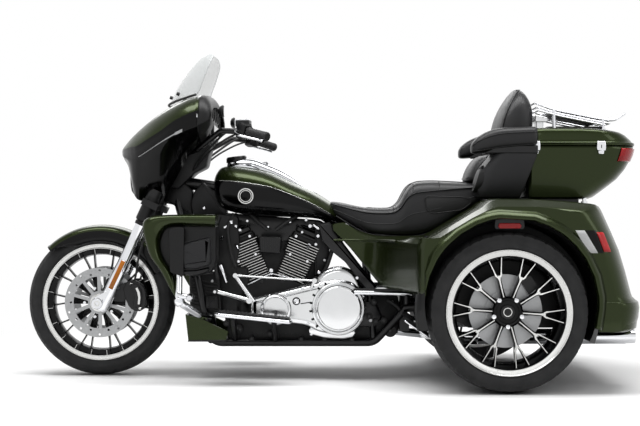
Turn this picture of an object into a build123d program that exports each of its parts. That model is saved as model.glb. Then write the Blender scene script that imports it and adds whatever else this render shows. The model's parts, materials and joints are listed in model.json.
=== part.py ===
"""A three-wheeled touring motorcycle: one steered wheel in front, two wheels under a luggage body.

Millimetres. +X points forward, +Y to the rider's left, +Z up. The origin is on the ground,
under the middle of the machine. Side outlines are lists of (x, z) points and plans are (x, y).
"""
import math
import os

from build123d import *

# Driving dimensions
FRONT_AXLE_X, FRONT_AXLE_Z = 988.0, 318.0
REAR_AXLE_X, REAR_AXLE_Z = -693.0, 316.0
FRONT_TYRE_R, FRONT_TYRE_HALF = 318.0, 66.0
REAR_TYRE_R, REAR_TYRE_HALF = 316.0, 107.5
REAR_WHEEL_Y = 572.0
BODY_HALF, FLARE_HALF = 664.0, 693.0
TRUNK_HALF = 440.0
SKIN = 8.0
# The flared arch edge is a ring about its own centre, a little behind and above the axle
ARCH_X, ARCH_Z, ARCH_INNER, ARCH_OUTER = -700.0, 350.0, 334.0, 370.0

# Fork: both legs and the steering axis lean back by the rake and are parallel
RAKE = math.radians(25.0)
LEG_Y = 127.0
LEG_FOOT_X = 959.0
STEER_BEHIND_LEG = 22.0
STEM_R, RUNNING = 18.0, 0.08
AXLE_BORE_R = 8.0

# Engine: two cylinders that lean 22.5 degrees each way from the crank
CRANK_X, CRANK_Z = 242.0, 242.0
CYLINDER_LEAN = 22.5

# Number plate holder on the luggage door: hole spacing across and up
PLATE_X, PLATE_Z = -1234.0, 480.0
PLATE_HOLES_Y, PLATE_HOLES_Z, PLATE_HOLE_R = 146.0, 70.0, 3.5

# Luggage case behind the passenger
CASE_HALF = 280.0
CASE_SPLIT_Z = 988.0
LID_FRONT_X = -872.0
CASE_HINGE_Y = -290.0
HINGE_R = 6.0

# Luggage door at the back of the body, hinged along its lower edge
DOOR_HALF = 385.0
DOOR_LOW_Z, DOOR_HIGH_Z = 386.0, 700.0
DOOR_HINGE_X, DOOR_HINGE_Z, DOOR_PIN_R = -1207.0, 385.0, 4.5

UP_FORK = Vector(-math.sin(RAKE), 0, math.cos(RAKE))


# Small tools
def fork_point(z, behind=0.0, y=0.0):
    """Point on the fork leg's line at height z, moved back by behind."""
    x = LEG_FOOT_X - (z - FRONT_AXLE_Z) * math.tan(RAKE) - behind
    return Vector(x, y, z)


def rod(start, end, radius):
    """Round bar between two points."""
    start, end = Vector(*start), Vector(*end)
    return Solid.make_cylinder(radius, (end - start).length, Plane(origin=start, z_dir=end - start))


def pipe(points, radius, bend):
    """Round bar along straight runs joined by arcs."""
    path = FilletPolyline(*points, radius=bend)
    return sweep(Plane(origin=path @ 0, z_dir=path % 0) * Circle(radius), path=path).solids()[0]


def block(x0, x1, y0, y1, z0, z1):
    """Plain box from its limits."""
    return Pos((x0 + x1) / 2, (y0 + y1) / 2, (z0 + z1) / 2) * Box(x1 - x0, y1 - y0, z1 - z0)


def side_prism(outline, y0, y1):
    """Side outline of (x, z) points, solid from y0 to y1."""
    face = Face(Wire.make_polygon([(x, y0, z) for x, z in outline]))
    return Part() + Solid.extrude(face, Vector(0, y1 - y0, 0))


def plan_prism(outline, z0, z1):
    """Plan outline of (x, y) points, solid from z0 to z1."""
    face = Face(Wire.make_polygon([(x, y, z0) for x, y in outline]))
    return Part() + Solid.extrude(face, Vector(0, 0, z1 - z0))


def cross_prism(outline, x0, x1):
    """Outline of (y, z) points seen from the front, solid from x0 to x1."""
    face = Face(Wire.make_polygon([(x0, y, z) for y, z in outline]))
    return Part() + Solid.extrude(face, Vector(x1 - x0, 0, 0))


def other_side(shape):
    """The same shape on the other side of the machine."""
    return mirror(shape, about=Plane.XZ)


def both_sides(shape):
    """A piece and its mirror image, as one node."""
    return Part() + shape + other_side(shape)


def mirrored_plan(outline):
    """Closes a plan outline given for the left side, from front to back, with its mirror image."""
    return outline + [(x, -y) for x, y in reversed(outline)]


def turned(edges, axle_x, axle_z, arc=360.0, start=0.0):
    """Turns a closed outline of (radius, y) edges about a wheel's axle, from an angle below ahead."""
    face = Face(Wire(edges))
    face = Pos(axle_x, 0, axle_z) * Rot(0, -start, 0) * face
    return Part() + Solid.revolve(face, arc, Axis((axle_x, 0, axle_z), (0, -1, 0)))


def closed(points):
    """Straight edges through (radius, y) points, back to the first."""
    spots = [Vector(r, y, 0) for r, y in points]
    return [Edge.make_line(a, b) for a, b in zip(spots, spots[1:] + spots[:1])]


def drum(radius, y0, y1, x, z, bore=0.0):
    """Cylinder across the machine, with a bore if one is given."""
    shape = Part() + rod((x, y0, z), (x, y1, z), radius)
    return shape - rod((x, y0 - 1, z), (x, y1 + 1, z), bore) if bore else shape


def spun(shape, degrees, x, z):
    """Shape turned about an axle at x, z."""
    return Pos(x, 0, z) * Rot(0, degrees, 0) * Pos(-x, 0, -z) * shape


def moved_y(shape, y):
    """Shape shifted sideways."""
    return Pos(0, y, 0) * shape


# Wheels
def tyre(outer_r, half, rim_r, flange_r, flange_y, crown_drop):
    """Tyre outline: bead seat, bulging wall, shoulder and crown."""
    seat_y = flange_y - 8.5
    wall_y = half - 8
    shoulder_r = outer_r - crown_drop
    spots = {
        "seat": (rim_r, seat_y), "hook": (flange_r + 1, seat_y), "edge": (flange_r + 1, wall_y),
        "bulge": ((flange_r + shoulder_r) / 2, half), "shoulder": (shoulder_r, wall_y),
    }
    p = {name: Vector(r, y, 0) for name, (r, y) in spots.items()}
    q = {name: Vector(r, -y, 0) for name, (r, y) in spots.items()}
    return [
        Edge.make_line(q["seat"], p["seat"]), Edge.make_line(p["seat"], p["hook"]),
        Edge.make_line(p["hook"], p["edge"]),
        Edge.make_three_point_arc(p["edge"], p["bulge"], p["shoulder"]),
        Edge.make_three_point_arc(p["shoulder"], Vector(outer_r, 0, 0), q["shoulder"]),
        Edge.make_three_point_arc(q["shoulder"], q["bulge"], q["edge"]),
        Edge.make_line(q["edge"], q["hook"]), Edge.make_line(q["hook"], q["seat"]),
    ]


def rim(rim_r, flange_r, flange_y, lip_width, well_r, well_y):
    """Rim outline: bright lips at both sides and a well between them."""
    half = [
        (flange_r, flange_y), (flange_r, flange_y - 7), (rim_r, flange_y - 7), (rim_r, well_y + 8),
        (well_r + 15, well_y),
    ]
    inner = [
        (flange_r - lip_width, flange_y), (flange_r - lip_width - 5, flange_y - 8), (well_r, well_y + 4),
    ]
    outline = half + [(r, -y) for r, y in reversed(half)]
    outline += [(r, -y) for r, y in inner] + [(r, y) for r, y in reversed(inner)]
    return closed(outline)


def y_spokes(x, z, y0, y1, hub_r, fork_r, rim_r, spread, width, count=10):
    """Spokes that split in two on the way out, in a ring round the axle."""
    spokes = Part()
    for i in range(count):
        stem = block(x + hub_r - 4, x + fork_r, y0, y1, z - width / 2, z + width / 2)
        arms = Part() + stem
        for side in (-1, 1):
            start, end = (fork_r - 6, side * width * 0.3), (rim_r + 2, side * spread)
            wide = width * 0.4
            arm = side_prism(
                [(x + start[0], z + start[1] - wide), (x + end[0], z + end[1] - wide),
                 (x + end[0], z + end[1] + wide), (x + start[0], z + start[1] + wide)], y0, y1)
            arms += arm
        spokes += spun(arms, i * 360 / count + 2, x, z)
    return spokes


def front_wheel():
    """Tyre, cast rim and the two brake discs of the steered wheel."""
    x, z = FRONT_AXLE_X, FRONT_AXLE_Z
    axle_hole = rod((x, -120, z), (x, 120, z), 12 + RUNNING)
    tyre_solid = turned(tyre(FRONT_TYRE_R, FRONT_TYRE_HALF, 240, 252, 57, 20), x, z)
    wheel = turned(rim(240, 252, 56, 18, 203, 18), x, z)
    wheel += drum(36, -70, 70, x, z)
    wheel += y_spokes(x, z, -13, 13, 34, 132, 206, 25, 13)
    discs = Part()
    for side in (-1, 1):
        y = sorted((side * 78, side * 83))
        disc = drum(150, y[0], y[1], x, z, 112)
        for i in range(20):
            angle = math.radians(i * 18)
            hole_r = 124 + 14 * (i % 2)
            hx, hz = x + hole_r * math.cos(angle), z + hole_r * math.sin(angle)
            disc -= rod((hx, y[0] - 1, hz), (hx, y[1] + 1, hz), 5)
        carrier = drum(50, y[0], y[1], x, z, 20)
        for i in range(10):
            carrier += spun(block(x + 44, x + 116, y[0], y[1], z - 7, z + 7), i * 36 + 20, x, z)
        seat = sorted((side * 70, side * 78))
        discs += disc + carrier + drum(50, seat[0], seat[1], x, z, 20)
    hubs = drum(18, -88, -70, x, z) + drum(18, 70, 88, x, z)
    return {"front_tyre": tyre_solid, "front_rim": wheel + hubs - axle_hole, "front_discs": discs}


def rear_wheel(side):
    """Wide tyre, cast rim with five nuts and the brake disc of one rear wheel; side is 1 on the left."""
    x, z = REAR_AXLE_X, REAR_AXLE_Z
    name = "left" if side > 0 else "right"
    tyre_solid = turned(tyre(REAR_TYRE_R, REAR_TYRE_HALF, 228, 246, 102, 14), x, z)
    wheel = turned(rim(228, 246, 101, 23, 196, 60), x, z)
    wheel += drum(60, -8, 34, x, z)
    wheel += y_spokes(x, z, 8, 34, 56, 143, 200, 29, 13)
    wheel += turned(closed([(190, 8), (204, 8), (216, 70), (204, 70), (190, 34)]), x, z)
    for i in range(5):
        angle = math.radians(i * 72 + 54)
        nx, nz = x + 57 * math.cos(angle), z - 57 * math.sin(angle)
        wheel += drum(10, 30, 46, nx, nz)
    wheel -= rod((x, -10, z), (x, 20, z), 20 + RUNNING)
    disc = drum(145, -26, -18, x, z, 80) + drum(82, -26, -8, x, z, 24)
    shapes = {"rear_tyre_": tyre_solid, "rear_rim_": wheel, "rear_disc_": disc}
    placed = {}
    for key, shape in shapes.items():
        shape = moved_y(shape, REAR_WHEEL_Y)
        placed[key + name] = shape if side > 0 else other_side(shape)
    return placed


# Fork and everything that turns with it
def fork():
    """Legs with axle lugs, clamps with the steering stem, axle, side markers and brake calipers."""
    ax, az = FRONT_AXLE_X, FRONT_AXLE_Z
    leg = Part() + rod(fork_point(290, y=LEG_Y), fork_point(500, y=LEG_Y), 27)
    leg += rod(fork_point(500, y=LEG_Y), fork_point(690, y=LEG_Y), 25)
    leg += drum(23, 96, 160, ax, az)
    leg += side_prism([(ax, az - 22), (ax, az + 22), (940, 372), (934, 318)], 104, 150)
    leg -= rod((ax, 90, az), (ax, 170, az), 12)
    axle = drum(12, -163, 163, ax, az)
    axle -= drum(AXLE_BORE_R, -164, -133, ax, az) + drum(AXLE_BORE_R, 133, 164, ax, az)

    clamps = Part()
    for low, high in ((728, 752), (908, 930)):
        mid = (low + high) / 2
        foot = fork_point(mid)
        plate = side_prism(
            [(foot.X - 36, -14), (foot.X + 36, -14), (foot.X + 36, 14), (foot.X - 36, 14)], -168, 168)
        plate += side_prism(
            [(foot.X - 62, -14), (foot.X, -14), (foot.X, 14), (foot.X - 62, 14)], -40, 40)
        plate = Pos(foot.X, 0, mid) * Rot(0, -25, 0) * Pos(-foot.X, 0, 0) * plate
        clamps += plate
    clamps += rod(fork_point(735, STEER_BEHIND_LEG), fork_point(925, STEER_BEHIND_LEG), STEM_R)
    tube = Part() + rod(fork_point(690, y=LEG_Y), fork_point(935, y=LEG_Y), 22)
    cover = Part() + rod(fork_point(690, y=LEG_Y), fork_point(800, y=LEG_Y), 34)
    clamps += both_sides(tube + cover)

    marker_mid = fork_point(440, y=LEG_Y + 27)
    marker = Pos(*marker_mid) * Rot(0, -25, 0) * Box(21, 10, 132)

    pads = [(870, 402), (846, 414), (800, 398), (786, 360), (790, 300), (812, 282), (850, 290),
            (884, 316), (894, 352)]
    caliper = side_prism(pads, 62, 100)
    caliper += side_prism([(884, 316), (938, 330), (914, 392), (870, 402)], 92, 100)
    caliper -= ring_gap(ax, az)
    return {
        "fork_legs": both_sides(leg), "front_axle": axle, "fork_clamps": clamps,
        "fork_markers": both_sides(marker - leg), "front_calipers": both_sides(caliper - leg),
    }


def ring_gap(x, z):
    """Slot in which a front brake disc turns."""
    return drum(156, 72, 89, x, z)


def front_fender():
    """Mudguard that follows the tyre, with deep side skirts."""
    outer = [(262, 84), (300, 84), (326, 62), (335, 0), (326, -62), (300, -84), (262, -84)]
    inner = [(262, -80), (299, -80), (322, -60), (331, 0), (322, 60), (299, 80), (262, 80)]
    shell = turned(closed(outer + inner), FRONT_AXLE_X, FRONT_AXLE_Z, arc=108, start=46)
    leg = rod(fork_point(480, y=LEG_Y), fork_point(690, y=LEG_Y), 25)
    lug = block(806, 858, 82, 104, 560, 610) - leg
    return {"front_fender": shell + both_sides(lug)}


def fairing_section(x, low, wide_z, high, half, low_half):
    """Fairing outline at one station: flat bottom, arched sides and top."""
    shoulder = (half * 0.72, wide_z + (high - wide_z) * 0.62)
    spots = {"low": (low_half, low), "wide": (half, wide_z), "shoulder": shoulder}
    p = {k: Vector(x, y, z) for k, (y, z) in spots.items()}
    q = {k: Vector(x, -y, z) for k, (y, z) in spots.items()}
    top = Vector(x, 0, high)
    return Wire([
        Edge.make_line(q["low"], p["low"]), Edge.make_line(p["low"], p["wide"]),
        Edge.make_line(p["wide"], p["shoulder"]),
        Edge.make_three_point_arc(p["shoulder"], top, q["shoulder"]),
        Edge.make_line(q["shoulder"], q["wide"]), Edge.make_line(q["wide"], q["low"]),
    ])


# x, lowest z, widest z, highest z, half width, half width at the bottom
FAIRING_STATIONS = [
    (893, 925, 955, 978, 84, 70),
    (845, 776, 985, 1030, 190, 118),
    (790, 758, 1010, 1080, 268, 132),
    (700, 776, 1030, 1150, 338, 150),
    (600, 905, 1050, 1196, 384, 200),
    (500, 1000, 1078, 1214, 405, 250),
    (452, 1066, 1092, 1172, 400, 290),
]


# x, y, z of the handlebar's bends on the left side, from its middle out to the grip's end
BAR_POINTS = [(610, 0, 962), (610, 60, 962), (560, 170, 972), (449, 300, 1044), (335, 350, 1036), (250, 440, 1010)]


def fairing():
    """Fork-mounted wind fairing, its inner panel, lamp and screen."""
    outer = Part() + Solid.make_loft([fairing_section(*row) for row in FAIRING_STATIONS], ruled=True)
    inside = [(x, low + 8, wide, high - 8, half - 9, low_half - 6)
              for x, low, wide, high, half, low_half in FAIRING_STATIONS[1:]]
    inside[0] = (835, *inside[0][1:])
    last = inside[-1]
    inside.append((440, last[1] + 6, last[2], last[3], last[4], last[5]))
    hollow = Part() + Solid.make_loft([fairing_section(*row) for row in inside], ruled=True)
    shell = outer - hollow
    shell -= block(440, 812, -190, 190, 700, 960)

    lamp_face = [(843, 800), (850, 900), (861, 925), (826, 925), (815, 800)]
    lamp = side_prism(lamp_face, -84, 84)
    shell -= lamp

    panel = hollow & block(506, 566, -420, 420, 985, 1230)
    panel += hollow & block(566, 640, -150, 150, 1120, 1190)
    gauges = Part()
    for y in (-118, -40, 40, 118):
        gauges += rod((500, y, 1120), (506, y, 1120), 34)
    screen_band = block(494, 506, -96, 96, 1010, 1078)
    bar_slot = pipe([(x, -y, z) for x, y, z in reversed(BAR_POINTS[1:])] + BAR_POINTS[1:], 17, 30)
    panel = panel + gauges + screen_band - shell - bar_slot
    shell -= bar_slot

    arc_mid, arc_side = (693.0, 0.0), (573.0, 255.0)
    outer_arc = Edge.make_three_point_arc(
        Vector(arc_side[0], arc_side[1], 0), Vector(arc_mid[0], 0, 0), Vector(arc_side[0], -arc_side[1], 0))
    inner_arc = Edge.make_three_point_arc(
        Vector(arc_side[0] - 5, -arc_side[1], 0), Vector(arc_mid[0] - 5, 0, 0),
        Vector(arc_side[0] - 5, arc_side[1], 0))
    ends = [
        Edge.make_line(outer_arc @ 1, inner_arc @ 0), Edge.make_line(inner_arc @ 1, outer_arc @ 0)]
    sheet = Face(Wire([outer_arc, ends[0], inner_arc, ends[1]]))
    rise = 330.0
    sheet = Pos(34, 0, 1120) * sheet
    screen = Part() + Solid.extrude(sheet, Vector(-0.66 * rise, 0, rise))
    top_shape = [(-215, 1000), (-240, 1180), (-235, 1290), (-190, 1365), (-110, 1400), (0, 1406),
                 (110, 1400), (190, 1365), (235, 1290), (240, 1180), (215, 1000)]
    screen = (screen & cross_prism(top_shape, 300, 900)) - outer - hollow
    screen = Part() + max(screen.solids(), key=lambda s: s.volume)
    return {"fairing_shell": shell, "fairing_panel": panel, "headlamp": lamp, "windscreen": screen}


def handlebar():
    """Bar on its risers, with grips, switch boxes, levers and mirrors."""
    left = BAR_POINTS[1:]
    bar_line = [(x, -y, z) for x, y, z in reversed(left)] + left
    bar = Part() + pipe(bar_line, 12, 30)
    for y in (-42, 42):
        top = fork_point(928, STEER_BEHIND_LEG)
        bar += rod((top.X, y, top.Z), (610, y, 962), 15)
    start, end = Vector(*BAR_POINTS[-2]), Vector(*BAR_POINTS[-1])
    along = (end - start).normalized()
    grip = Part() + rod(start + along * 12, end + along * 6, 18)
    grip += rod(start - along * 2, start + along * 12, 24)
    box_mid = start - along * 28
    housing = Pos(*box_mid) * Box(52, 46, 62)
    reservoir = Pos(352, 318, 1074) * Box(66, 44, 34)
    lever = pipe([(372, 330, 1040), (372, 372, 1022), (300, 452, 1004)], 6, 14)
    controls = Part() + grip + housing + reservoir + lever
    controls -= bar
    mirror_glass = Pos(434, 352, 1120) * Rot(0, 8, 0) * Box(12, 78, 52)
    return {"handlebar": bar, "hand_controls": both_sides(controls), "mirrors": both_sides(mirror_glass)}


# Frame, engine and running gear
def frame():
    """Tube frame with the steering neck, seat rails and the arms to the rear axle."""
    neck_low, neck_high = fork_point(757, STEER_BEHIND_LEG), fork_point(890, STEER_BEHIND_LEG)
    tubes = Part() + rod(neck_low, neck_high, 31)
    tubes += rod((655, 0, 838), (120, 0, 762), 26)
    tubes += rod((120, 0, 762), (-60, 0, 640), 26)
    side = Part() + pipe(
        [(672, 20, 800), (560, 122, 420), (505, 132, 150), (-190, 132, 150), (-330, 150, 300), (-330, 150, 460)],
        16, 60)
    side += pipe([(-40, 12, 652), (-160, 120, 560), (-330, 150, 450), (-600, 150, 450)], 14, 50)
    side += rod((-190, 128, 165), (-150, 100, 590), 13)
    side += pipe([(-318, 150, 300), (-520, 190, 316), (-650, 230, 316)], 20, 80)
    tubes += both_sides(side)
    for x, z in ((505, 160), (-180, 155)):
        tubes += rod((x, -132, z), (x, 132, z), 14)
    tubes += rod((-330, -150, 450), (-330, 150, 450), 14)
    tubes += block(-340, -300, -150, 150, 200, 260)
    return tubes - rod(neck_low - UP_FORK * 5, neck_high + UP_FORK * 5, STEM_R + RUNNING)


def lean(shape, side):
    """Upright cylinder part leant forward (1) or back (-1) about the crank."""
    return Pos(CRANK_X, 0, CRANK_Z) * Rot(0, side * CYLINDER_LEAN, 0) * shape


def engine():
    """Crankcase, two finned cylinders with rocker boxes, covers, gearbox and intake."""
    case = side_prism(
        [(395, 200), (395, 330), (352, 392), (300, 420), (184, 420), (120, 396), (84, 330), (70, 190),
         (110, 150), (360, 150)], -92, 92)
    case += block(330, 420, -60, 60, 240, 330)
    gearbox = side_prism([(68, 190), (80, 330), (112, 392), (60, 430), (-120, 430), (-168, 380), (-168, 200),
                          (-120, 168), (40, 168)], -104, 104)

    barrels, boxes = Part(), Part()
    for side in (1, -1):
        barrel = Part() + Pos(0, 0, 225) * Cylinder(50, 140)
        for i in range(14):
            barrel += Pos(0, 0, 172 + i * 9) * Box(132, 140, 3.5)
        head = Part() + Pos(0, 0, 338) * Box(118, 128, 88)
        for i in range(9):
            head += Pos(0, 0, 300 + i * 9) * Box(150, 160, 3.5)
        barrels += lean(barrel + head, side)
        cap = Part() + Pos(0, 0, 400) * Box(122, 132, 36) + Pos(0, 0, 428) * Box(96, 104, 22)
        boxes += lean(cap, side)
    halves = block(CRANK_X, CRANK_X + 400, -200, 200, 0, 900)
    front_keep = barrels & halves
    rear_keep = barrels - halves
    barrels = front_keep + Pos(-1.0, 0, 0) * (rear_keep - block(CRANK_X - 1, CRANK_X + 1, -200, 200, 0, 900))
    barrels -= case

    primary = side_prism(
        [(336, 336), (322, 344), (180, 377), (62, 406), (17, 466), (-40, 478), (-95, 458), (-131, 420),
         (-156, 330), (-150, 260), (-116, 196), (-29, 182), (88, 186), (98, 226), (240, 242), (322, 250),
         (336, 264)], 106, 196)
    primary += drum(112, 196, 214, -39, 301) + drum(95, 214, 232, -39, 301) + drum(58, 196, 210, 226, 300)
    cam = side_prism([(338, 200), (350, 300), (300, 372), (184, 372), (134, 300), (146, 200), (190, 166),
                      (294, 166)], -128, -93)
    cam += drum(60, -136, -128, CRANK_X, 262)
    rods = Part()
    for side in (1, -1):
        rods += rod((CRANK_X + side * 46, -112, 366), (CRANK_X + side * 104, -86, 512), 10)
    rods -= barrels + cam
    intake = block(204, 302, 84, 112, 532, 608)
    intake += block(214, 290, -70, 84, 540, 600)
    intake -= barrels + boxes
    cleaner = drum(98, -210, -150, 236, 540) + drum(84, -222, -210, 236, 540)
    cleaner += block(190, 282, -150, -84, 520, 580)
    cleaner -= barrels + rods + intake
    return {
        "crankcase": case + gearbox, "cylinders": barrels - gearbox, "rocker_boxes": boxes - barrels,
        "primary_cover": primary, "cam_cover": cam + rods, "air_cleaner": cleaner + intake,
    }


def exhaust():
    """Header pipes on the right, a crossover, and one silencer each side under the body."""
    pipes = Part() + pipe(
        [(372, -80.5, 556), (372, -140, 556), (448, -190, 400), (330, -200, 240), (-150, -200, 232),
         (-420, -300, 206), (-530, -400, 202), (-600, -400, 202)], 21, 38)
    pipes += pipe([(60, -80.5, 520), (60, -140, 520), (10, -196, 350), (-40, -196, 262), (-90, -196, 240)], 21, 38)
    pipes += pipe(
        [(-250, -237, 222), (-300, -200, 170), (-420, -60, 170), (-470, 300, 190), (-530, 400, 202), (-600, 400, 202)],
        19, 34)
    silencers = both_sides(Part() + rod((-600, 400, 202), (-1200, 400, 202), 31)
                           + rod((-1200, 400, 202), (-1238, 400, 202), 28)
                           - rod((-1190, 400, 202), (-1240, 400, 202), 24))
    return {"exhaust_pipes": pipes, "silencers": silencers}


def rear_axle():
    """Axle beam with its drive housing, stub shafts, brake calipers and dampers."""
    x, z = REAR_AXLE_X, REAR_AXLE_Z
    beam = Part() + rod((x, -470, z), (x, 470, z), 36)
    beam += rod((x, -110, z), (x, 110, z), 92) + rod((x, 110, z), (x, 190, z), 60)
    beam += rod((x, -190, z), (x, -110, z), 60)
    stub = Part() + rod((x, 470, z), (x, REAR_WHEEL_Y + 16, z), 20)
    flange = drum(70, 470, 484, x, z)
    caliper = side_prism([(x - 90, z + 66), (x - 128, z + 96), (x - 96, z + 140), (x - 50, z + 128)], 520, 576)
    caliper -= drum(151, 539, 561, x, z)
    caliper += side_prism([(x - 60, z + 20), (x - 96, z + 80), (x - 70, z + 126), (x - 30, z + 60)], 484, 520)
    beam += both_sides(stub + flange + caliper)
    damper = Part() + rod((-600, 250, 420), (-668, 268, 352), 27) + rod((-668, 268, 352), (-690, 276, 330), 14)
    return {"rear_axle": beam, "dampers": both_sides(damper - beam)}


# Bodywork
TANK_STATIONS = [
    # x, bottom z, top z, half width at the bottom, widest half width, height of the shoulder
    (492, 745, 862, 70, 92, 830),
    (430, 700, 904, 104, 142, 852),
    (300, 688, 902, 118, 166, 836),
    (140, 686, 832, 100, 150, 780),
    (0, 676, 752, 56, 92, 722),
]


def tank_section(x, low, high, low_half, half, shoulder):
    """Tank outline at one station: flat bottom, bulging sides, arched top."""
    top_half = half * 0.8
    p = [Vector(x, low_half, low), Vector(x, half, (low + shoulder) / 2 + 10), Vector(x, top_half, shoulder + 8)]
    q = [Vector(x, -v.Y, v.Z) for v in p]
    return Wire([
        Edge.make_line(q[0], p[0]), Edge.make_three_point_arc(*p),
        Edge.make_three_point_arc(p[2], Vector(x, 0, high), q[2]), Edge.make_three_point_arc(q[2], q[1], q[0]),
    ])


def tank():
    """Fuel tank over the backbone, with its bright console on top."""
    shell = Part() + Solid.make_loft([tank_section(*row) for row in TANK_STATIONS])
    tunnel = Part() + rod((700, 0, 846), (120, 0, 762), 34) + rod((120, 0, 762), (-60, 0, 640), 34)
    tunnel += plan_prism([(520, -34), (520, 34), (-60, 34), (-60, -34)], 640, 766)
    console = side_prism(
        [(452, 880), (440, 924), (380, 936), (300, 926), (200, 884), (90, 826), (10, 772), (0, 740), (160, 800)],
        -52, 52)
    console += drum_up(356, 0, 925, 944, 42)
    shell -= tunnel
    return {"fuel_tank": shell, "tank_console": console - shell - tunnel}


def drum_up(x, y, z0, z1, radius):
    """Upright cylinder."""
    return Part() + rod((x, y, z0), (x, y, z1), radius)


BODY_SIDE = [
    # Side outline of the whole luggage body, from the front tip under the seat, over the top, round the back
    (-18, 652), (-54, 664), (-130, 622), (-199, 606), (-383, 601), (-489, 652), (-552, 690), (-604, 722),
    (-636, 759), (-799, 756), (-1054, 738), (-1080, 722), (-1156, 550), (-1210, 372), (-1240, 350),
    (-1226, 246), (-1000, 240), (-560, 240), (-396, 330), (-351, 357), (-251, 372), (-218, 399),
]
BODY_PLAN = [
    # Left half of the body's plan: narrow under the seat, swept out round the wheel, rounded at the back
    (0, 176), (-120, 206), (-220, 262), (-282, 380), (-322, 540), (-338, 640), (-352, BODY_HALF),
    (-1030, BODY_HALF), (-1100, 648), (-1176, 596), (-1226, 440), (-1256, 220), (-1262, 0),
]
BELT_Z = 590.0


def inset_plan(outline, gap):
    """Plan outline moved in by a gap, near enough for a wall's inner face."""
    return [(x - gap if x > -400 else x + gap if x < -1050 else x, max(y - gap, 0)) for x, y in outline]


def body_block(gap):
    """The luggage body as one solid, or its inside when a gap is given."""
    side = side_prism(BODY_SIDE, -800, 800)
    if gap:
        lowered = [(x, z - gap if z > 560 else z - 200) for x, z in BODY_SIDE]
        side = side_prism(lowered, -800, 800)
    low = plan_prism(mirrored_plan(inset_plan(BODY_PLAN, gap)), 0, BELT_Z)
    shoulder = [(x - 26 if x > -300 else x, max(y - 26, 0) if x > -300 else y) for x, y in BODY_PLAN]
    high = plan_prism(mirrored_plan(inset_plan(shoulder, gap)), BELT_Z, 800)
    crown = cross_prism(
        [(-666, 0), (-666, 660), (-650, 706), (-610, 732), (-500, 756), (-380, 764), (380, 764), (500, 756),
         (610, 732), (650, 706), (666, 660), (666, 0)], -1400, 100)
    if gap:
        crown = crown & block(-1400, 100, -800, 800, 0, 764 - gap)
    return side & (low + high) & crown


def luggage_body():
    """Side panels under the seat, two wheel arches, the trunk and its door."""
    whole = body_block(0)
    inside = body_block(SKIN)
    x, z = REAR_AXLE_X, REAR_AXLE_Z
    well = both_sides(drum(366, TRUNK_HALF + SKIN, 760, x, z))
    axle_way = drum(90, -500, 500, x, z)
    centre = block(-1400, 100, -TRUNK_HALF, TRUNK_HALF, 0, 900)
    ahead = block(-340, 100, -800, 800, 0, 900)

    panels = (whole & ahead) - inside - both_sides(drum(374, 330, 760, x, z))
    panels -= block(-400, 100, -120, 120, 0, 900)
    arches = whole - ahead - centre - well
    flare = [(ARCH_INNER, 640), (ARCH_OUTER, 640), (ARCH_OUTER, BODY_HALF + 6), (ARCH_OUTER - 14, FLARE_HALF),
             (ARCH_INNER, FLARE_HALF)]
    lip = turned(closed(flare), ARCH_X, ARCH_Z, arc=202, start=-1)
    lip -= block(ARCH_X, ARCH_X + 500, 600, 800, 0, 386)
    lip = both_sides(lip)
    arches = arches - lip - axle_way

    trunk = (whole & centre) - ahead
    inner_y = TRUNK_HALF - SKIN
    under = block(-782, -340, -inner_y, inner_y, 0, 424) + block(-1195, -780, -inner_y, inner_y, 0, 364)
    under += inside & block(-700, -300, -inner_y, inner_y, 400, 800)
    room = block(-1400, -708, -inner_y, inner_y, 432, 800) + block(-1400, -790, -inner_y, inner_y, 372, 800)
    cavity = whole & (Pos(12, 0, 0) * whole) & (Pos(0, 0, -SKIN) * whole) & room
    door_cut = block(-1400, -1000, -DOOR_HALF, DOOR_HALF, DOOR_LOW_Z - 6, DOOR_HIGH_Z + 6)
    door_zone = block(-1400, -1000, -DOOR_HALF + 6, DOOR_HALF - 6, DOOR_LOW_Z, DOOR_HIGH_Z)
    door = (whole & door_zone) - Pos(24, 0, 0) * (whole & block(-1400, -900, -600, 600, 0, 900))
    trunk = trunk - under - cavity - axle_way - (door_cut & (whole - Pos(34, 0, 0) * whole))
    door += rod((DOOR_HINGE_X, -150, DOOR_HINGE_Z), (DOOR_HINGE_X, 150, DOOR_HINGE_Z), DOOR_PIN_R)
    return panels, arches, trunk, door, lip


def plate_holder(door):
    """Upright plate with four holes, on two stand-offs from the luggage door."""
    holder = block(PLATE_X, PLATE_X + 4, -95, 95, PLATE_Z - 55, PLATE_Z + 55)
    for y in (-PLATE_HOLES_Y / 2, PLATE_HOLES_Y / 2):
        for z in (-PLATE_HOLES_Z / 2, PLATE_HOLES_Z / 2):
            holder -= rod((PLATE_X - 1, y, PLATE_Z + z), (PLATE_X + 5, y, PLATE_Z + z), PLATE_HOLE_R)
    holder += block(PLATE_X + 4, PLATE_X + 90, -50, -38, PLATE_Z - 12, PLATE_Z + 12)
    holder += block(PLATE_X + 4, PLATE_X + 90, 38, 50, PLATE_Z - 12, PLATE_Z + 12)
    return biggest(holder - door - Pos(24, 0, 0) * door)


def biggest(shape, count=1):
    """The largest solids of a shape, which drops stray slivers."""
    solids = sorted(shape.solids(), key=lambda s: -s.volume)[:count]
    result = Part()
    for solid in solids:
        result += solid
    return result


# Seat, pads and luggage case
SEAT_SIDE = [
    (-10, 752), (-60, 744), (-110, 736), (-170, 728), (-250, 724), (-288, 730), (-314, 774), (-346, 818),
    (-386, 834), (-450, 836), (-560, 831), (-596, 828), (-596, 726), (-552, 692), (-489, 654), (-383, 603),
    (-199, 608), (-130, 624), (-54, 666), (-16, 712),
]


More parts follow.
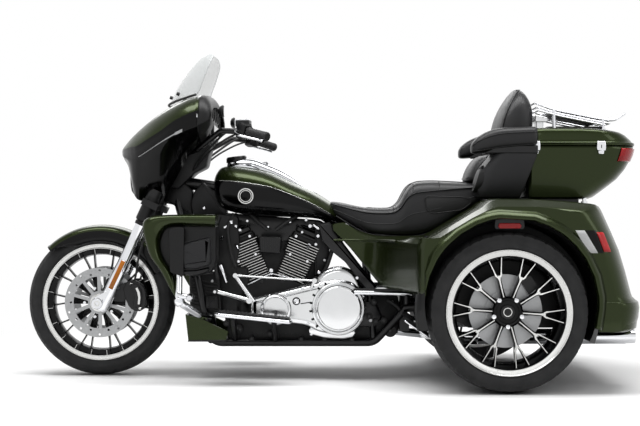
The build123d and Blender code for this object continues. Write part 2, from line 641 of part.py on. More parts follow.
def seat():
    """Two-step saddle for rider and passenger."""
    shell = side_prism(SEAT_SIDE, -188, 188)
    plan = [(0, 62), (-40, 96), (-110, 134), (-200, 176), (-290, 188), (-600, 188)]
    shell = shell & plan_prism(mirrored_plan(plan), 500, 900)
    edge = cross_prism(
        [(-190, 560), (-190, 770), (-168, 816), (-120, 838), (120, 838), (168, 816), (190, 770), (190, 560)],
        -700, 100)
    return shell & edge


def backrest():
    """Upright pad, lumbar pad and the padded arms round the passenger."""
    upright = side_prism(
        [(-700, 1062), (-718, 1120), (-748, 1186), (-780, 1224), (-812, 1236), (-838, 1218), (-858, 1172),
         (-862, 1100), (-862, 992), (-700, 992)], -190, 190)
    upright = upright & cross_prism(
        [(-190, 980), (-190, 1130), (-160, 1200), (-96, 1240), (96, 1240), (160, 1200), (190, 1130), (190, 980)],
        -900, -600)
    lumbar = side_prism(
        [(-600, 834), (-606, 880), (-622, 925), (-644, 952), (-698, 952), (-698, 834)], -146, 146)
    arm = side_prism(
        [(-590, 962), (-595, 990), (-616, 1014), (-650, 1038), (-690, 1056), (-863, 1062), (-863, 992),
         (-740, 958), (-606, 944)], 192, 316)
    arm = arm & plan_prism([(-580, 214), (-606, 292), (-660, 316), (-863, 316), (-863, 192), (-690, 192)], 900, 1100)
    shelf = block(-862, -640, -316, 316, 953, 991) & plan_prism(
        mirrored_plan([(-640, 205), (-660, 290), (-862, 300)]), 900, 1000)
    arms = both_sides(arm) - shelf
    return upright, lumbar, arms, shelf


CASE_SIDE = [
    # Side outline of the case and its lid, from the lid's front edge, over the top, round the back
    (-700, 1066), (-855, 1066), (-1135, 1056), (-1199, 1046), (-1224, 1030), (-1258, 988), (-1262, 975),
    (-1227, 904), (-1186, 841), (-1135, 806), (-1089, 774), (-1015, 760), (-760, 764), (-700, 800),
]
CASE_PLAN = [(-700, 186), (-826, 186), (-840, 276), (-1120, 280), (-1200, 262), (-1262, 190), (-1290, 80), (-1294, 0)]


def case_block(gap):
    """Closed case outline, or its inside when a gap is given."""
    side = [(x + gap if x < -1100 else x, z - gap if z > 980 else z + gap) for x, z in CASE_SIDE]
    side = [(x + (-46 if z > 700 and x < -1150 else 0), z) for x, z in side]
    plan = [(x + gap if x < -1190 else x, max(y - gap, 0)) for x, y in CASE_PLAN]
    return side_prism(side, -400, 400) & plan_prism(mirrored_plan(plan), 700, 1200)


def luggage_case():
    """Case base with a fixed front, hinged lid with a rack, and wrap-round lamps."""
    outer, inner = case_block(0), case_block(6)
    below = block(-1400, -600, -400, 400, 700, CASE_SPLIT_Z)
    room = inner & block(-1400, -880, -400, 400, 700, 1200)
    base = (outer & below) - room
    lamp_zone = both_sides(block(-1400, -1180, 112, 400, 916, 974))
    lamps = base & lamp_zone
    base = base - lamp_zone

    lid_zone = block(-1400, LID_FRONT_X, -400, 400, CASE_SPLIT_Z + 1, 1200)
    lid = (outer & lid_zone) - (inner & block(-1400, LID_FRONT_X - 6, -400, 400, 700, 1200))
    rim_plan = [(x - 10 if x < -1100 else x, y + 5 if y else 0) for x, y in CASE_PLAN[2:]]
    rim_plan = [(-872, 282)] + rim_plan[1:]
    flange = plan_prism(mirrored_plan(rim_plan), CASE_SPLIT_Z + 1, CASE_SPLIT_Z + 11)
    lid += flange - (inner & block(-1400, LID_FRONT_X - 6, -400, 400, 700, 1200))
    lid += block(-1306, -1288, -60, 60, CASE_SPLIT_Z + 1, CASE_SPLIT_Z + 11)
    hinge_z = CASE_SPLIT_Z + 1
    lid -= block(-1046, -994, CASE_HINGE_Y - 10, -279, 900, 1010)
    lid += rod((-1120, CASE_HINGE_Y, hinge_z), (-1060, CASE_HINGE_Y, hinge_z), HINGE_R)
    base += rod((-1040, CASE_HINGE_Y, hinge_z), (-1000, CASE_HINGE_Y, hinge_z), HINGE_R)
    base += block(-1040, -1000, CASE_HINGE_Y - 3, -279, 970, hinge_z - 3)
    return base, lid, lamps


def rack():
    """Bright tube rack on the lid: two stacked loops, slats and four posts."""
    loops = Part()
    # x of the front bar, x where the rails bend, x of the rear bend, x of the raised tail
    for drop, half in ((0, 168), (26, 182)):
        rail = [(-884, half - 30, 1166 - drop), (-930, half, 1134 - drop), (-1160, half, 1088 - drop)]
        left = pipe(rail, 5, 20)
        loops += both_sides(left)
        for x, y, z in (rail[0], rail[2]):
            loops += rod((x, -y, z), (x, y, z), 5)
    tail = pipe([(-1160, 168, 1088), (-1222, 140, 1116), (-1262, 120, 1124), (-1262, 0, 1124)], 5, 18)
    loops += both_sides(tail)
    for i in range(7):
        x = -950 - i * 32
        z = 1134 + (x + 930) * (46 / 230)
        loops += block(x - 6, x + 6, -168, 168, z - 2, z + 2)
    for x, z, foot in ((-945, 1128, 1059), (-1140, 1090, 1051)):
        for y in (-168, 168):
            loops += rod((x, y, z), (x, y, foot), 7)
            loops += rod((x, y * 0.95, z - 24), (x, y * 1.1, z - 24), 4)
    return loops


def speaker_pods():
    """Rounded boxes each side of the passenger, ahead of the case."""
    pod = side_prism(
        [(-700, 950), (-660, 924), (-630, 884), (-608, 830), (-602, 780), (-640, 764), (-760, 764), (-838, 790),
         (-838, 950)], 188, 300)
    pod = pod & plan_prism([(-602, 200), (-612, 262), (-660, 300), (-838, 300), (-838, 188), (-602, 188)], 700, 1000)
    return both_sides(pod)


# Fairings beside the engine, guard, boards and pedals
def lower_fairings():
    """Leg shields either side of the front tyre, the tube guard in them and the chin panel."""
    shield = side_prism(
        [(760, 668), (742, 684), (709, 692), (464, 698), (464, 600), (498, 560), (498, 470), (560, 436),
         (616, 396), (709, 503), (751, 593)], 246, 424)
    shield = shield & plan_prism([(760, 290), (762, 424), (640, 424), (464, 412), (464, 246), (640, 246)], 300, 800)
    guard_line = [
        (622, 66, 640), (616, 300, 640), (614, 384, 590), (614, 392, 440), (612, 428, 345), (540, 330, 285),
        (508, 140, 262)]
    guard = both_sides(pipe(guard_line, 15, 40))
    shield = biggest(shield - guard)
    chin = side_prism([(611, 272), (599, 160), (439, 160), (430, 200), (490, 228), (540, 252)], -158, 158)
    chin -= side_prism([(604, 300), (592, 150), (400, 150), (400, 300)], -152, 152)
    return shield, guard, chin


def boards_and_levers():
    """Rider's boards, passenger's boards, shift lever with its rod, and brake pedal."""
    plank = Pos(310, 352, 279) * Rot(0, -6, 0) * Box(304, 128, 16)
    arms = Part() + rod((400, 146, 170), (400, 330, 272), 11) + rod((230, 146, 160), (230, 330, 258), 11)
    boards = both_sides(Part() + plank + arms)
    back_board = Pos(-356, 372, 236) * Rot(0, -35, 0) * Box(118, 96, 18)
    back_arm = rod((-318, 164, 276), (-336, 330, 262), 13)
    back_boards = both_sides(Part() + back_board + back_arm)

    shift = Part() + rod((333, 196, 339), (333, 292, 339), 12)
    shift += rod((333, 282, 339), (466, 282, 380), 8) + rod((487, 276, 380), (487, 340, 380), 9)
    shift += rod((466, 282, 380), (487, 282, 380), 8)
    shift += rod((323, 250, 345), (393, 250, 442), 9) + rod((393, 250, 442), (62, 224, 419), 4)
    shift += rod((62, 196, 419), (62, 230, 419), 9)
    pedal = Part() + rod((333, -136, 330), (333, -292, 330), 12)
    pedal += rod((333, -282, 330), (462, -300, 366), 8) + block(440, 500, -340, -280, 366, 378)
    return boards, back_boards, shift, pedal


def lamps_and_small_parts():
    """Lamps let into the body's rear corners, and the oil cooler with its fins."""
    lamp = side_prism([(-950, 636), (-988, 636), (-1040, 548), (-1028, 546), (-960, 620)], 620, 712)
    red = side_prism([(-1030, 627), (-1062, 627), (-1092, 553), (-1060, 553)], 580, 712)
    cooler = Part()
    for i in range(12):
        z = 214 + i * 14
        cooler += block(538, 578, -88, 88, z, z + 4)
    cooler += block(546, 570, -80, 80, 210, 376)
    return lamp, red, cooler


def chassis(nodes):
    """Bodywork, case and small parts, each cut clear of what it meets."""
    panels, arches, trunk, door, lip = luggage_body()
    upright, lumbar, arms, shelf = backrest()
    base, lid, lamps = luggage_case()
    shield, guard, chin = lower_fairings()
    boards, back_boards, shift, pedal = boards_and_levers()
    tail, red, cooler = lamps_and_small_parts()
    saddle = seat()
    pods = speaker_pods()

    nodes["handlebar"] -= nodes["fork_clamps"]
    nodes["crankcase"] -= nodes["frame"]
    guard -= nodes["frame"]
    saddle -= panels + arches + trunk + lumbar + nodes["fuel_tank"] + nodes["tank_console"] + nodes["frame"]
    panels -= nodes["frame"]
    shelf -= base + upright + lumbar
    tail, red = both_sides(tail), both_sides(red)
    nodes.update({
        "seat": saddle, "side_panels": panels, "rear_arches": arches - tail - red, "arch_lips": lip,
        "trunk": trunk, "trunk_door": door, "plate_holder": plate_holder(door),
        "rear_lamps": lamps + (tail & arches) + (red & arches),
        "backrest": upright + lumbar + arms, "arm_shelf": shelf,
        "case_base": base, "case_lid": lid, "luggage_rack": rack() - lid,
        "speaker_pods": pods - base - saddle - arms,
        "lower_fairings": both_sides(shield) - guard, "guard_tubes": guard, "chin_panel": chin, "oil_cooler": cooler,
        "footboards": boards + back_boards - nodes["frame"], "foot_levers": shift + pedal,
    })


def build():
    """Every piece by its node's name."""
    nodes = {}
    nodes.update(front_wheel())
    nodes.update(rear_wheel(1))
    nodes.update(rear_wheel(-1))
    nodes.update(fork())
    nodes.update(front_fender())
    nodes.update(fairing())
    nodes.update(handlebar())
    nodes.update(engine())
    nodes.update(exhaust())
    nodes.update(rear_axle())
    nodes.update(tank())
    nodes["frame"] = frame()
    chassis(nodes)
    return nodes


def write(nodes):
    """One file for each node."""
    os.makedirs("parts", exist_ok=True)
    for name, shape in nodes.items():
        export_step(Part() + shape, f"parts/{name}.step")


if __name__ == "__main__":
    write(build())
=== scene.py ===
"""Dresses a three-wheeled touring motorcycle in paint, chrome, rubber, vinyl and clear plastic.

Sizes are millimetres in the part's own frame: +X forward, +Y to the rider's left, +Z up, ground at z = 0.
Each sub-assembly is a class. Its sizes are its fields and build() makes its pieces.
"""
from __future__ import annotations

import json
import logging
import math
from dataclasses import dataclass, field
from enum import Enum
from typing import Callable, Iterable, Sequence

import bmesh
import bpy
from mathutils import Matrix, Vector

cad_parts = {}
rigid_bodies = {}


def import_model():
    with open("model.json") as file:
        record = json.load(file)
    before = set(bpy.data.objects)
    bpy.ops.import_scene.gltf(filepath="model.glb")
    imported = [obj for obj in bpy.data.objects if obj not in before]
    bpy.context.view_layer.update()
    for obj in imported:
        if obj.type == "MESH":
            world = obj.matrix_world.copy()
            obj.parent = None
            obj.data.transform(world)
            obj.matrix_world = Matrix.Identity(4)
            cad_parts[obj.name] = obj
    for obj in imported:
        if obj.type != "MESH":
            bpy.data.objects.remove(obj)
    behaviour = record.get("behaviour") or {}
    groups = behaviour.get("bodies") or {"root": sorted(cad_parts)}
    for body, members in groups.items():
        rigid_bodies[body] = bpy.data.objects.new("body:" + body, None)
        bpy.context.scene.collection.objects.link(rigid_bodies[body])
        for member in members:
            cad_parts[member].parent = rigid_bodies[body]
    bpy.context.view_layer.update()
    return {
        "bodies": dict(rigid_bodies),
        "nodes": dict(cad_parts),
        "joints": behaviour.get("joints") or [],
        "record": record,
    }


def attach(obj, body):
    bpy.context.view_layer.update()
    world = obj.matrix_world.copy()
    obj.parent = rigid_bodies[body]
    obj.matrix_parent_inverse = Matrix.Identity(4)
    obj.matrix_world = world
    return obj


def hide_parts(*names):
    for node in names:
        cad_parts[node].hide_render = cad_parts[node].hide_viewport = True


LOG = logging.getLogger("tricycle")
MM = 0.001
Point = tuple[float, float, float]
Flat = tuple[float, float]

FRONT_AXLE = (988.0, 318.0)
REAR_AXLE = (-693.0, 316.0)
REAR_WHEEL_Y = 572.0
RAKE = math.radians(25.0)
LEFT = Vector((0, 1, 0))
# Corners nearer than the first are welded, and edges shorter than the second are dropped, in metres
WELD, SLIVER = 0.00004, 0.00001
# An edge bent by more than this is rounded by a bevel
BEVEL_ANGLE = math.radians(30)
# Fill of the foam in the pads, from 0 to 1
FOAM = 0.8


class Side(Enum):
    """Which side of the machine a piece is on."""

    LEFT = 1
    RIGHT = -1


# Materials


def linear(hex_colour: str) -> tuple[float, float, float, float]:
    """Turns an sRGB hex colour to linear.

    Args:
        hex_colour: Six hex digits after a hash.

    Returns:
        Linear red, green, blue and an alpha of 1.
    """
    parts = [int(hex_colour[i : i + 2], 16) / 255 for i in (1, 3, 5)]
    straight = [c / 12.92 if c <= 0.04045 else ((c + 0.055) / 1.055) ** 2.4 for c in parts]
    return (*straight, 1.0)


def add_node(tree: bpy.types.NodeTree, kind: str, links: dict | None = None, **settings) -> bpy.types.Node:
    """Adds a node, sets its inputs or properties and links what feeds it.

    Args:
        tree: The node tree.
        kind: The node's type name.
        links: Input name or index to the output socket that feeds it.
        **settings: Properties by name, or inputs as a dict called inputs.

    Returns:
        The new node.
    """
    node = tree.nodes.new(kind)
    for name, value in settings.pop("inputs", {}).items():
        node.inputs[name].default_value = value
    for name, value in settings.items():
        setattr(node, name, value)
    for name, socket in (links or {}).items():
        tree.links.new(socket, node.inputs[name])
    return node


@dataclass(frozen=True)
class Finish:
    """A surface finish: its material slot, and how its colour, gloss and grain vary."""

    name: str
    slot: str
    colour: str
    metallic: float = 0.0
    roughness: float = 0.5
    coat: float = 0.0
    gloss: float = 0.5
    coat_roughness: float = 0.03
    grain_mm: float = 0.0
    grain_depth: float = 0.0
    cells: bool = False
    tone: float = 0.0
    tone_mm: float = 60.0
    rough_spread: float = 0.0
    alpha: float = 1.0
    ior: float = 1.5

    def build(self) -> bpy.types.Material:
        """Makes the node material.

        Returns:
            The material, made once for each finish.
        """
        found = bpy.data.materials.get(self.name)
        if found:
            return found
        material = bpy.data.materials.new(self.name)
        material.use_nodes = True
        tree = material.node_tree
        tree.nodes.clear()
        shader = add_node(tree, "ShaderNodeBsdfPrincipled", inputs={
            "Base Color": linear(self.colour), "Metallic": self.metallic, "Roughness": self.roughness,
            "Coat Weight": self.coat, "Coat Roughness": self.coat_roughness, "Alpha": self.alpha,
            "Specular IOR Level": self.gloss, "IOR": self.ior})
        place = add_node(tree, "ShaderNodeTexCoord").outputs["Object"]
        if self.tone or self.rough_spread:
            cloud = add_node(tree, "ShaderNodeTexNoise", {"Vector": place}, inputs={
                "Scale": 1.0 / (self.tone_mm * MM), "Detail": 4.0, "Roughness": 0.6}).outputs[0]
            if self.tone:
                dark = tuple(c * (1 - self.tone) for c in linear(self.colour)[:3]) + (1.0,)
                light = tuple(min(1.0, c * (1 + self.tone)) for c in linear(self.colour)[:3]) + (1.0,)
                mix = add_node(tree, "ShaderNodeMix", data_type="RGBA")
                mix.inputs[6].default_value, mix.inputs[7].default_value = dark, light
                tree.links.new(cloud, mix.inputs[0])
                tree.links.new(mix.outputs[2], shader.inputs["Base Color"])
            if self.rough_spread:
                low, high = self.roughness - self.rough_spread, self.roughness + self.rough_spread
                spread = add_node(tree, "ShaderNodeMapRange", {0: cloud}, inputs={
                    1: 0.3, 2: 0.7, 3: max(0.02, low), 4: min(1.0, high)}).outputs[0]
                tree.links.new(spread, shader.inputs["Roughness"])
        if self.grain_mm:
            scale = 1.0 / (self.grain_mm * MM)
            if self.cells:
                grain = add_node(tree, "ShaderNodeTexVoronoi", {"Vector": place},
                                 inputs={"Scale": scale}).outputs[0]
            else:
                grain = add_node(tree, "ShaderNodeTexNoise", {"Vector": place}, inputs={
                    "Scale": scale, "Detail": 3.0}).outputs[0]
            bump = add_node(tree, "ShaderNodeBump", {"Height": grain}, inputs={
                "Strength": self.grain_depth, "Distance": self.grain_mm * MM * 0.4}).outputs[0]
            tree.links.new(bump, shader.inputs["Normal"])
        out = add_node(tree, "ShaderNodeOutputMaterial")
        tree.links.new(shader.outputs[0], out.inputs[0])
        return material


# Two-stage metallic enamel, sprayed and flow-coated: olive with pale highlights under a clear coat
GREEN = Finish("olive_metallic_enamel", "green_paint", "#2a3317", metallic=0.7, roughness=0.27, coat=0.22,
               gloss=0.2, grain_mm=1.2, grain_depth=0.02, tone=0.06, tone_mm=2.5)
# Black enamel under the same clear coat: deep, with sharp reflections
BLACK = Finish("gloss_black_enamel", "rim_black", "#030304", roughness=0.2, coat=0.14, gloss=0.12,
               grain_mm=1.5, grain_depth=0.01, tone=0.1, tone_mm=40)
# Chromium plate over buffed steel: near mirror, faint polishing haze
CHROME = Finish("chromium_plate", "chrome", "#e4e5e8", metallic=1.0, roughness=0.07, tone=0.03, tone_mm=70,
                rough_spread=0.03)
# Diamond-turned aluminium: bright, with fine cutting marks
MACHINED = Finish("turned_aluminium", "chrome", "#dcdcda", metallic=1.0, roughness=0.24, grain_mm=0.8,
                  grain_depth=0.01, tone=0.05, tone_mm=20, rough_spread=0.06)
# Buffed aluminium covers: bright, softer than chrome
POLISHED = Finish("buffed_aluminium", "chrome", "#dedfe0", metallic=1.0, roughness=0.17, tone=0.04,
                  tone_mm=60, rough_spread=0.05)
# Ground stainless brake disc: even grey with swirl marks
DISC = Finish("ground_stainless", "engine_black", "#a9aaab", metallic=0.9, roughness=0.38, grain_mm=1.2,
              grain_depth=0.1, tone=0.16, tone_mm=14, rough_spread=0.08)
# Wrinkle-finish powder coat on cast iron and aluminium: dark with a fine crinkle
WRINKLE = Finish("wrinkle_black_powder", "engine_black", "#0a0a0b", roughness=0.52, gloss=0.3,
                 grain_mm=1.4, grain_depth=0.35, tone=0.2, tone_mm=30, rough_spread=0.06)
# Satin black powder coat on steel tube
SATIN = Finish("satin_black_powder", "black_paint", "#08080a", roughness=0.34, coat=0.15,
               coat_roughness=0.2, gloss=0.3, grain_mm=1.0, grain_depth=0.06, tone=0.12, tone_mm=50)
# Carbon-black tyre rubber: matt, a little dusty
TYRE = Finish("tyre_rubber", "tyre", "#1b1b1c", roughness=0.74, grain_mm=1.6, grain_depth=0.25, tone=0.18,
              tone_mm=45, rough_spread=0.08)
# Moulded black nylon and ABS with a fine spark texture
PLASTIC = Finish("textured_black_abs", "black_plastic", "#0d0d0e", roughness=0.46, gloss=0.3, grain_mm=0.9,
                 grain_depth=0.18, tone=0.12, tone_mm=50)
# Coarser, greyer moulded panel
GREY_PLASTIC = Finish("moulded_grey_abs", "black_plastic", "#1f1f21", roughness=0.46, gloss=0.35,
                      grain_mm=1.1, grain_depth=0.2, tone=0.08, tone_mm=60)
# Grained marine vinyl stretched over foam: pebbled, with soft sheen
VINYL = Finish("grained_black_vinyl", "vinyl", "#111113", roughness=0.42, gloss=0.4, grain_mm=2.0,
               grain_depth=0.35, cells=True, tone=0.16, tone_mm=70, rough_spread=0.06)
# Moulded grip rubber
RUBBER = Finish("moulded_rubber", "rubber", "#111112", roughness=0.62, grain_mm=1.0, grain_depth=0.15,
                tone=0.1, tone_mm=30)
# Injection-moulded acrylic lenses over an optic pattern: strong colour with a hard gloss
AMBER = Finish("amber_acrylic", "amber_lens", "#f08a08", roughness=0.16, coat=0.2, gloss=0.3, grain_mm=3.0,
               grain_depth=0.2, cells=True, tone=0.12, tone_mm=6)
RED = Finish("red_acrylic", "red_lens", "#c80c14", roughness=0.16, coat=0.2, gloss=0.3, grain_mm=3.0,
             grain_depth=0.2, cells=True, tone=0.15, tone_mm=6)
CLEAR = Finish("clear_acrylic_lens", "clear_lens", "#f0f1f2", roughness=0.12, coat=1.0, grain_mm=4.0,
               grain_depth=0.3, cells=True, tone=0.1, tone_mm=8)
# Cast acrylic screen: nearly clear, faint grey at the edge
SCREEN = Finish("cast_acrylic_screen", "clear_screen", "#dfe4e4", roughness=0.04, alpha=0.24, ior=1.49)
# Screen-printed gauge face behind a clear window: near black with a wet gloss
DIAL = Finish("printed_gauge_face", "black_plastic", "#1c1d20", roughness=0.25, coat=0.8, tone=0.2,
              tone_mm=12)


# Meshes


@dataclass
class Shape:
    """A mesh being put together in millimetres: corners, faces and each face's finish number."""

    corners: list[Vector] = field(default_factory=list)
    faces: list[tuple[int, ...]] = field(default_factory=list)
    marks: list[int] = field(default_factory=list)

    def grid(self, rows: Sequence[Sequence[Sequence[float]]], around: bool = False, loop: bool = False,
             mark: int = 0) -> Shape:
        """Adds a net of quads over rows of points.

        Args:
            rows: Rows with the same number of points.
            around: Whether each row closes on itself.
            loop: Whether the last row joins the first.
            mark: Finish number.

        Returns:
            The shape itself.
        """
        start, wide, tall = len(self.corners), len(rows[0]), len(rows)
        self.corners += [Vector(p) for row in rows for p in row]
        for i in range(tall if loop else tall - 1):
            for j in range(wide if around else wide - 1):
                i2, j2 = (i + 1) % tall, (j + 1) % wide
                ring = (i * wide + j, i * wide + j2, i2 * wide + j2, i2 * wide + j)
                self.faces.append(tuple(start + k for k in ring))
                self.marks.append(mark)
        return self

    def cap(self, points: Sequence[Sequence[float]], mark: int = 0) -> Shape:
        """Adds a flat many-sided face over the points."""
        start = len(self.corners)
        self.corners += [Vector(p) for p in points]
        self.faces.append(tuple(range(start, start + len(points))))
        self.marks.append(mark)
        return self

    def loft(self, rows: Sequence[Sequence[Sequence[float]]]) -> Shape:
        """Adds a closed skin over rings of points, with both ends capped."""
        return self.grid(rows, around=True).cap(rows[0]).cap(rows[-1])

    def lathe(self, profile: Sequence[Flat], axle: Flat, steps: int = 96) -> Shape:
        """Turns a closed profile of (radius, y) points about an axle.

        Args:
            profile: Points of the profile.
            axle: x and z of the axle.
            steps: Number of steps round the axle.

        Returns:
            The shape itself.
        """
        rows = []
        for i in range(steps):
            turn = math.radians(360.0 * i / steps)
            rows.append([(axle[0] + r * math.cos(turn), y, axle[1] + r * math.sin(turn))
                         for r, y in profile])
        return self.grid(rows, around=True, loop=True)

    def tube(self, path: Sequence[Point], radius: float | Sequence[float], sides: int = 14,
             bend: float = 0.0) -> Shape:
        """Adds a round bar along a path, with rounded bends and closed ends.

        Args:
            path: Points of the path.
            radius: Radius, or one for each point where bend is 0.
            sides: Number of sides.
            bend: Radius of the rounding at each inner point.

        Returns:
            The shape itself.
        """
        line = round_path(path, bend) if bend else [Vector(p) for p in path]
        sizes = list(radius) if isinstance(radius, (list, tuple)) else [radius] * len(line)
        rows, across = [], None
        for i, spot in enumerate(line):
            ahead = (line[min(i + 1, len(line) - 1)] - line[max(i - 1, 0)]).normalized()
            if across is None:
                across = ahead.orthogonal().normalized()
            across = (across - ahead * across.dot(ahead)).normalized()
            other = ahead.cross(across)
            rows.append([spot + (across * math.cos(a) + other * math.sin(a)) * sizes[i]
                         for a in angles(sides)])
        return self.loft(rows)

    def slab(self, outline: Sequence[Flat], low: float, high: float, plane: str = "xz") -> Shape:
        """Adds an outline with thickness.

        Args:
            outline: Points of the outline.
            low: Lower limit across the plane.
            high: Upper limit across the plane.
            plane: "xz", "xy" or "yz", the plane of the outline.

        Returns:
            The shape itself.
        """
        def place(p: Flat, depth: float) -> Point:
            """Puts a point of the outline in its plane."""
            if plane == "xz":
                return (p[0], depth, p[1])
            return (p[0], p[1], depth) if plane == "xy" else (depth, p[0], p[1])

        return self.loft([[place(p, d) for p in outline] for d in (low, high)])

    def bolt(self, spot: Point, radius: float, height: float, sides: int = 6,
             along: Vector = LEFT) -> Shape:
        """Adds a bolt head that stands on a face."""
        start = Vector(spot)
        return self.tube([start, start + along * height * 0.8, start + along * height],
                         [radius, radius, radius * 0.8], sides)

    def both(self) -> Shape:
        """Adds the mirror image on the other side of the machine."""
        start = len(self.corners)
        self.corners += [Vector((p.x, -p.y, p.z)) for p in self.corners]
        self.faces += [tuple(start + k for k in reversed(f)) for f in self.faces[: len(self.marks)]]
        self.marks += self.marks[:]
        return self

    def moved(self, turn: Matrix) -> Shape:
        """The shape after a matrix."""
        return Shape([turn @ p for p in self.corners], self.faces[:], self.marks[:])

    def joined(self, other: Shape) -> Shape:
        """Adds another shape's faces."""
        start = len(self.corners)
        self.corners += other.corners
        self.faces += [tuple(start + k for k in f) for f in other.faces]
        self.marks += other.marks
        return self


def angles(count: int) -> list[float]:
    """Even angles round a full turn."""
    return [2 * math.pi * k / count for k in range(count)]


def about(axle: Flat, degrees: float) -> Matrix:
    """Turn about an axle that lies across the machine."""
    centre = Vector((axle[0], 0, axle[1]))
    turn = Matrix.Rotation(-math.radians(degrees), 4, "Y")
    return Matrix.Translation(centre) @ turn @ Matrix.Translation(-centre)


def whole(x: float, half: Sequence[Flat]) -> list[Point]:
    """Section at x from its left half of (y, z) points, which ends on the middle plane."""
    return [(x, y, z) for y, z in half] + [(x, -y, z) for y, z in reversed(half[:-1])]


def corner(before: Vector, here: Vector, after: Vector, reach: float, share: float,
           steps: int) -> list[Vector]:
    """Points of a rounded corner.

    Args:
        before: The point before the corner.
        here: The corner.
        after: The point after it.
        reach: Length taken from each side.
        share: Greatest share of a side that is taken.
        steps: Steps in the rounding.

    Returns:
        The points.
    """
    near, far = (here + (end - here).normalized() * min(reach, (end - here).length * share)
                 for end in (before, after))
    return [near * (1 - t) ** 2 + here * 2 * t * (1 - t) + far * t * t
            for t in (k / steps for k in range(steps + 1))]


def round_path(path: Sequence[Point], bend: float, steps: int = 6) -> list[Vector]:
    """Rounds the inner corners of an open path, taking the length bend from each side."""
    spots = [Vector(p) for p in path]
    line = [spots[0]]
    for before, here, after in zip(spots, spots[1:], spots[2:]):
        line += corner(before, here, after, bend, 0.48, steps)
    return [*line, spots[-1]]


def spline(points: Sequence[Sequence[float]], count: int) -> list[Vector]:
    """Smooth curve through points or rows of numbers, with count steps between two of them."""
    spots = [Vector(p) for p in points]
    padded = [spots[0] * 2 - spots[1], *spots, spots[-1] * 2 - spots[-2]]
    fine = []
    for a, b, c, d in zip(padded, padded[1:], padded[2:], padded[3:]):
        for k in range(count):
            t = k / count
            fine.append(0.5 * ((2 * b) + (c - a) * t + (2 * a - 5 * b + 4 * c - d) * t * t
                               + (3 * b - a - 3 * c + d) * t ** 3))
    return [*fine, spots[-1]]


def smooth_line(points: Sequence[Flat], count: int) -> list[Flat]:
    """Even points along a smooth curve through the given points.

    Args:
        points: Points to pass through.
        count: Number of points wanted.

    Returns:
        The points of the curve.
    """
    fine = spline(points, 12)
    runs = [0.0]
    for a, b in zip(fine, fine[1:]):
        runs.append(runs[-1] + (b - a).length)
    line, k = [], 0
    for i in range(count):
        want = runs[-1] * i / (count - 1)
        while k < len(runs) - 2 and runs[k + 1] < want:
            k += 1
        share = (want - runs[k]) / max(runs[k + 1] - runs[k], 1e-9)
        line.append(tuple(fine[k].lerp(fine[k + 1], share)))
    return line


def table_rows(rows: Sequence[Sequence[float]], count: int) -> list[list[float]]:
    """Smooth in-between rows of a table of numbers, for a loft through few stations."""
    return [list(row) for row in spline(rows, count)]


def make(shape: Shape, name: str, finish: Finish | tuple[Finish, ...], *nodes: str, body: str = "chassis",
         slot: str = "", padded: float | None = None, **settings) -> None:
    """Turns a shape into a finished piece that rides on a body.

    Args:
        shape: The shape in millimetres.
        name: The piece's name.
        finish: The finish, or a tuple of them by the shape's finish numbers.
        *nodes: CAD nodes that it stands for.
        body: The CAD body it moves with.
        slot: The record's material slot, where it isn't the finish's own; not used.
        padded: Fill of a cushion, from 0 to 1; not used.
        **settings: Edge and wall settings of solid().
    """
    finishes = finish if isinstance(finish, tuple) else (finish,)
    piece = solid(shape, name, finishes, **settings)
    join(piece, body, nodes)


def solid(shape: Shape, name: str, finishes: Sequence[Finish], sharp: float = 35.0, bevel: float = 0.0,
          smooth: int = 0, thick: float = 0.0, outward: bool = True,
          segments: int = 2) -> bpy.types.Object:
    """Makes the mesh of a piece, with its edges and wall.

    Args:
        shape: The shape in millimetres.
        name: The piece's name.
        finishes: Finishes by the shape's finish numbers.
        sharp: Angle in degrees above which an edge stays sharp.
        bevel: Width in millimetres of a rounded edge.
        smooth: Levels of subdivision.
        thick: Wall thickness in millimetres, inwards.
        outward: Whether to turn all faces outwards.
        segments: Steps in a rounded edge.

    Returns:
        The object.
    """
    mesh = bpy.data.meshes.new(name)
    mesh.from_pydata([p * MM for p in shape.corners], [], shape.faces)
    for finish in finishes:
        mesh.materials.append(finish.build())
    for polygon, mark in zip(mesh.polygons, shape.marks):
        polygon.material_index = mark
    work = bmesh.new()
    work.from_mesh(mesh)
    bmesh.ops.remove_doubles(work, verts=work.verts, dist=WELD)
    bmesh.ops.dissolve_degenerate(work, edges=work.edges, dist=SLIVER)
    if outward:
        bmesh.ops.recalc_face_normals(work, faces=work.faces)
    limit = math.radians(sharp)
    for edge in work.edges:
        edge.smooth = not (len(edge.link_faces) == 2 and edge.calc_face_angle(0.0) > limit)
    for face in work.faces:
        face.smooth = True
    work.to_mesh(mesh)
    work.free()
    piece = bpy.data.objects.new(name, mesh)
    bpy.context.scene.collection.objects.link(piece)
    if thick:
        wall = piece.modifiers.new("wall", "SOLIDIFY")
        wall.thickness, wall.offset, wall.use_even_offset = thick * MM, -1.0, False
    if bevel:
        edge = piece.modifiers.new("edge", "BEVEL")
        edge.width, edge.segments, edge.limit_method = bevel * MM, segments, "ANGLE"
        edge.angle_limit, edge.harden_normals = BEVEL_ANGLE, False
    if smooth:
        finer = piece.modifiers.new("smooth", "SUBSURF")
        finer.levels = finer.render_levels = smooth
    if thick or bevel or smooth:
        bake(piece)
    return piece


def join(piece: bpy.types.Object, body: str, replaces: Iterable[str] = ()) -> None:
    """Ties a finished piece to its body and hides the CAD nodes that it stands for."""
    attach(piece, body)
    if replaces:
        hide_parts(*replaces)
    LOG.info("%s: %d faces", piece.name, len(piece.data.polygons))


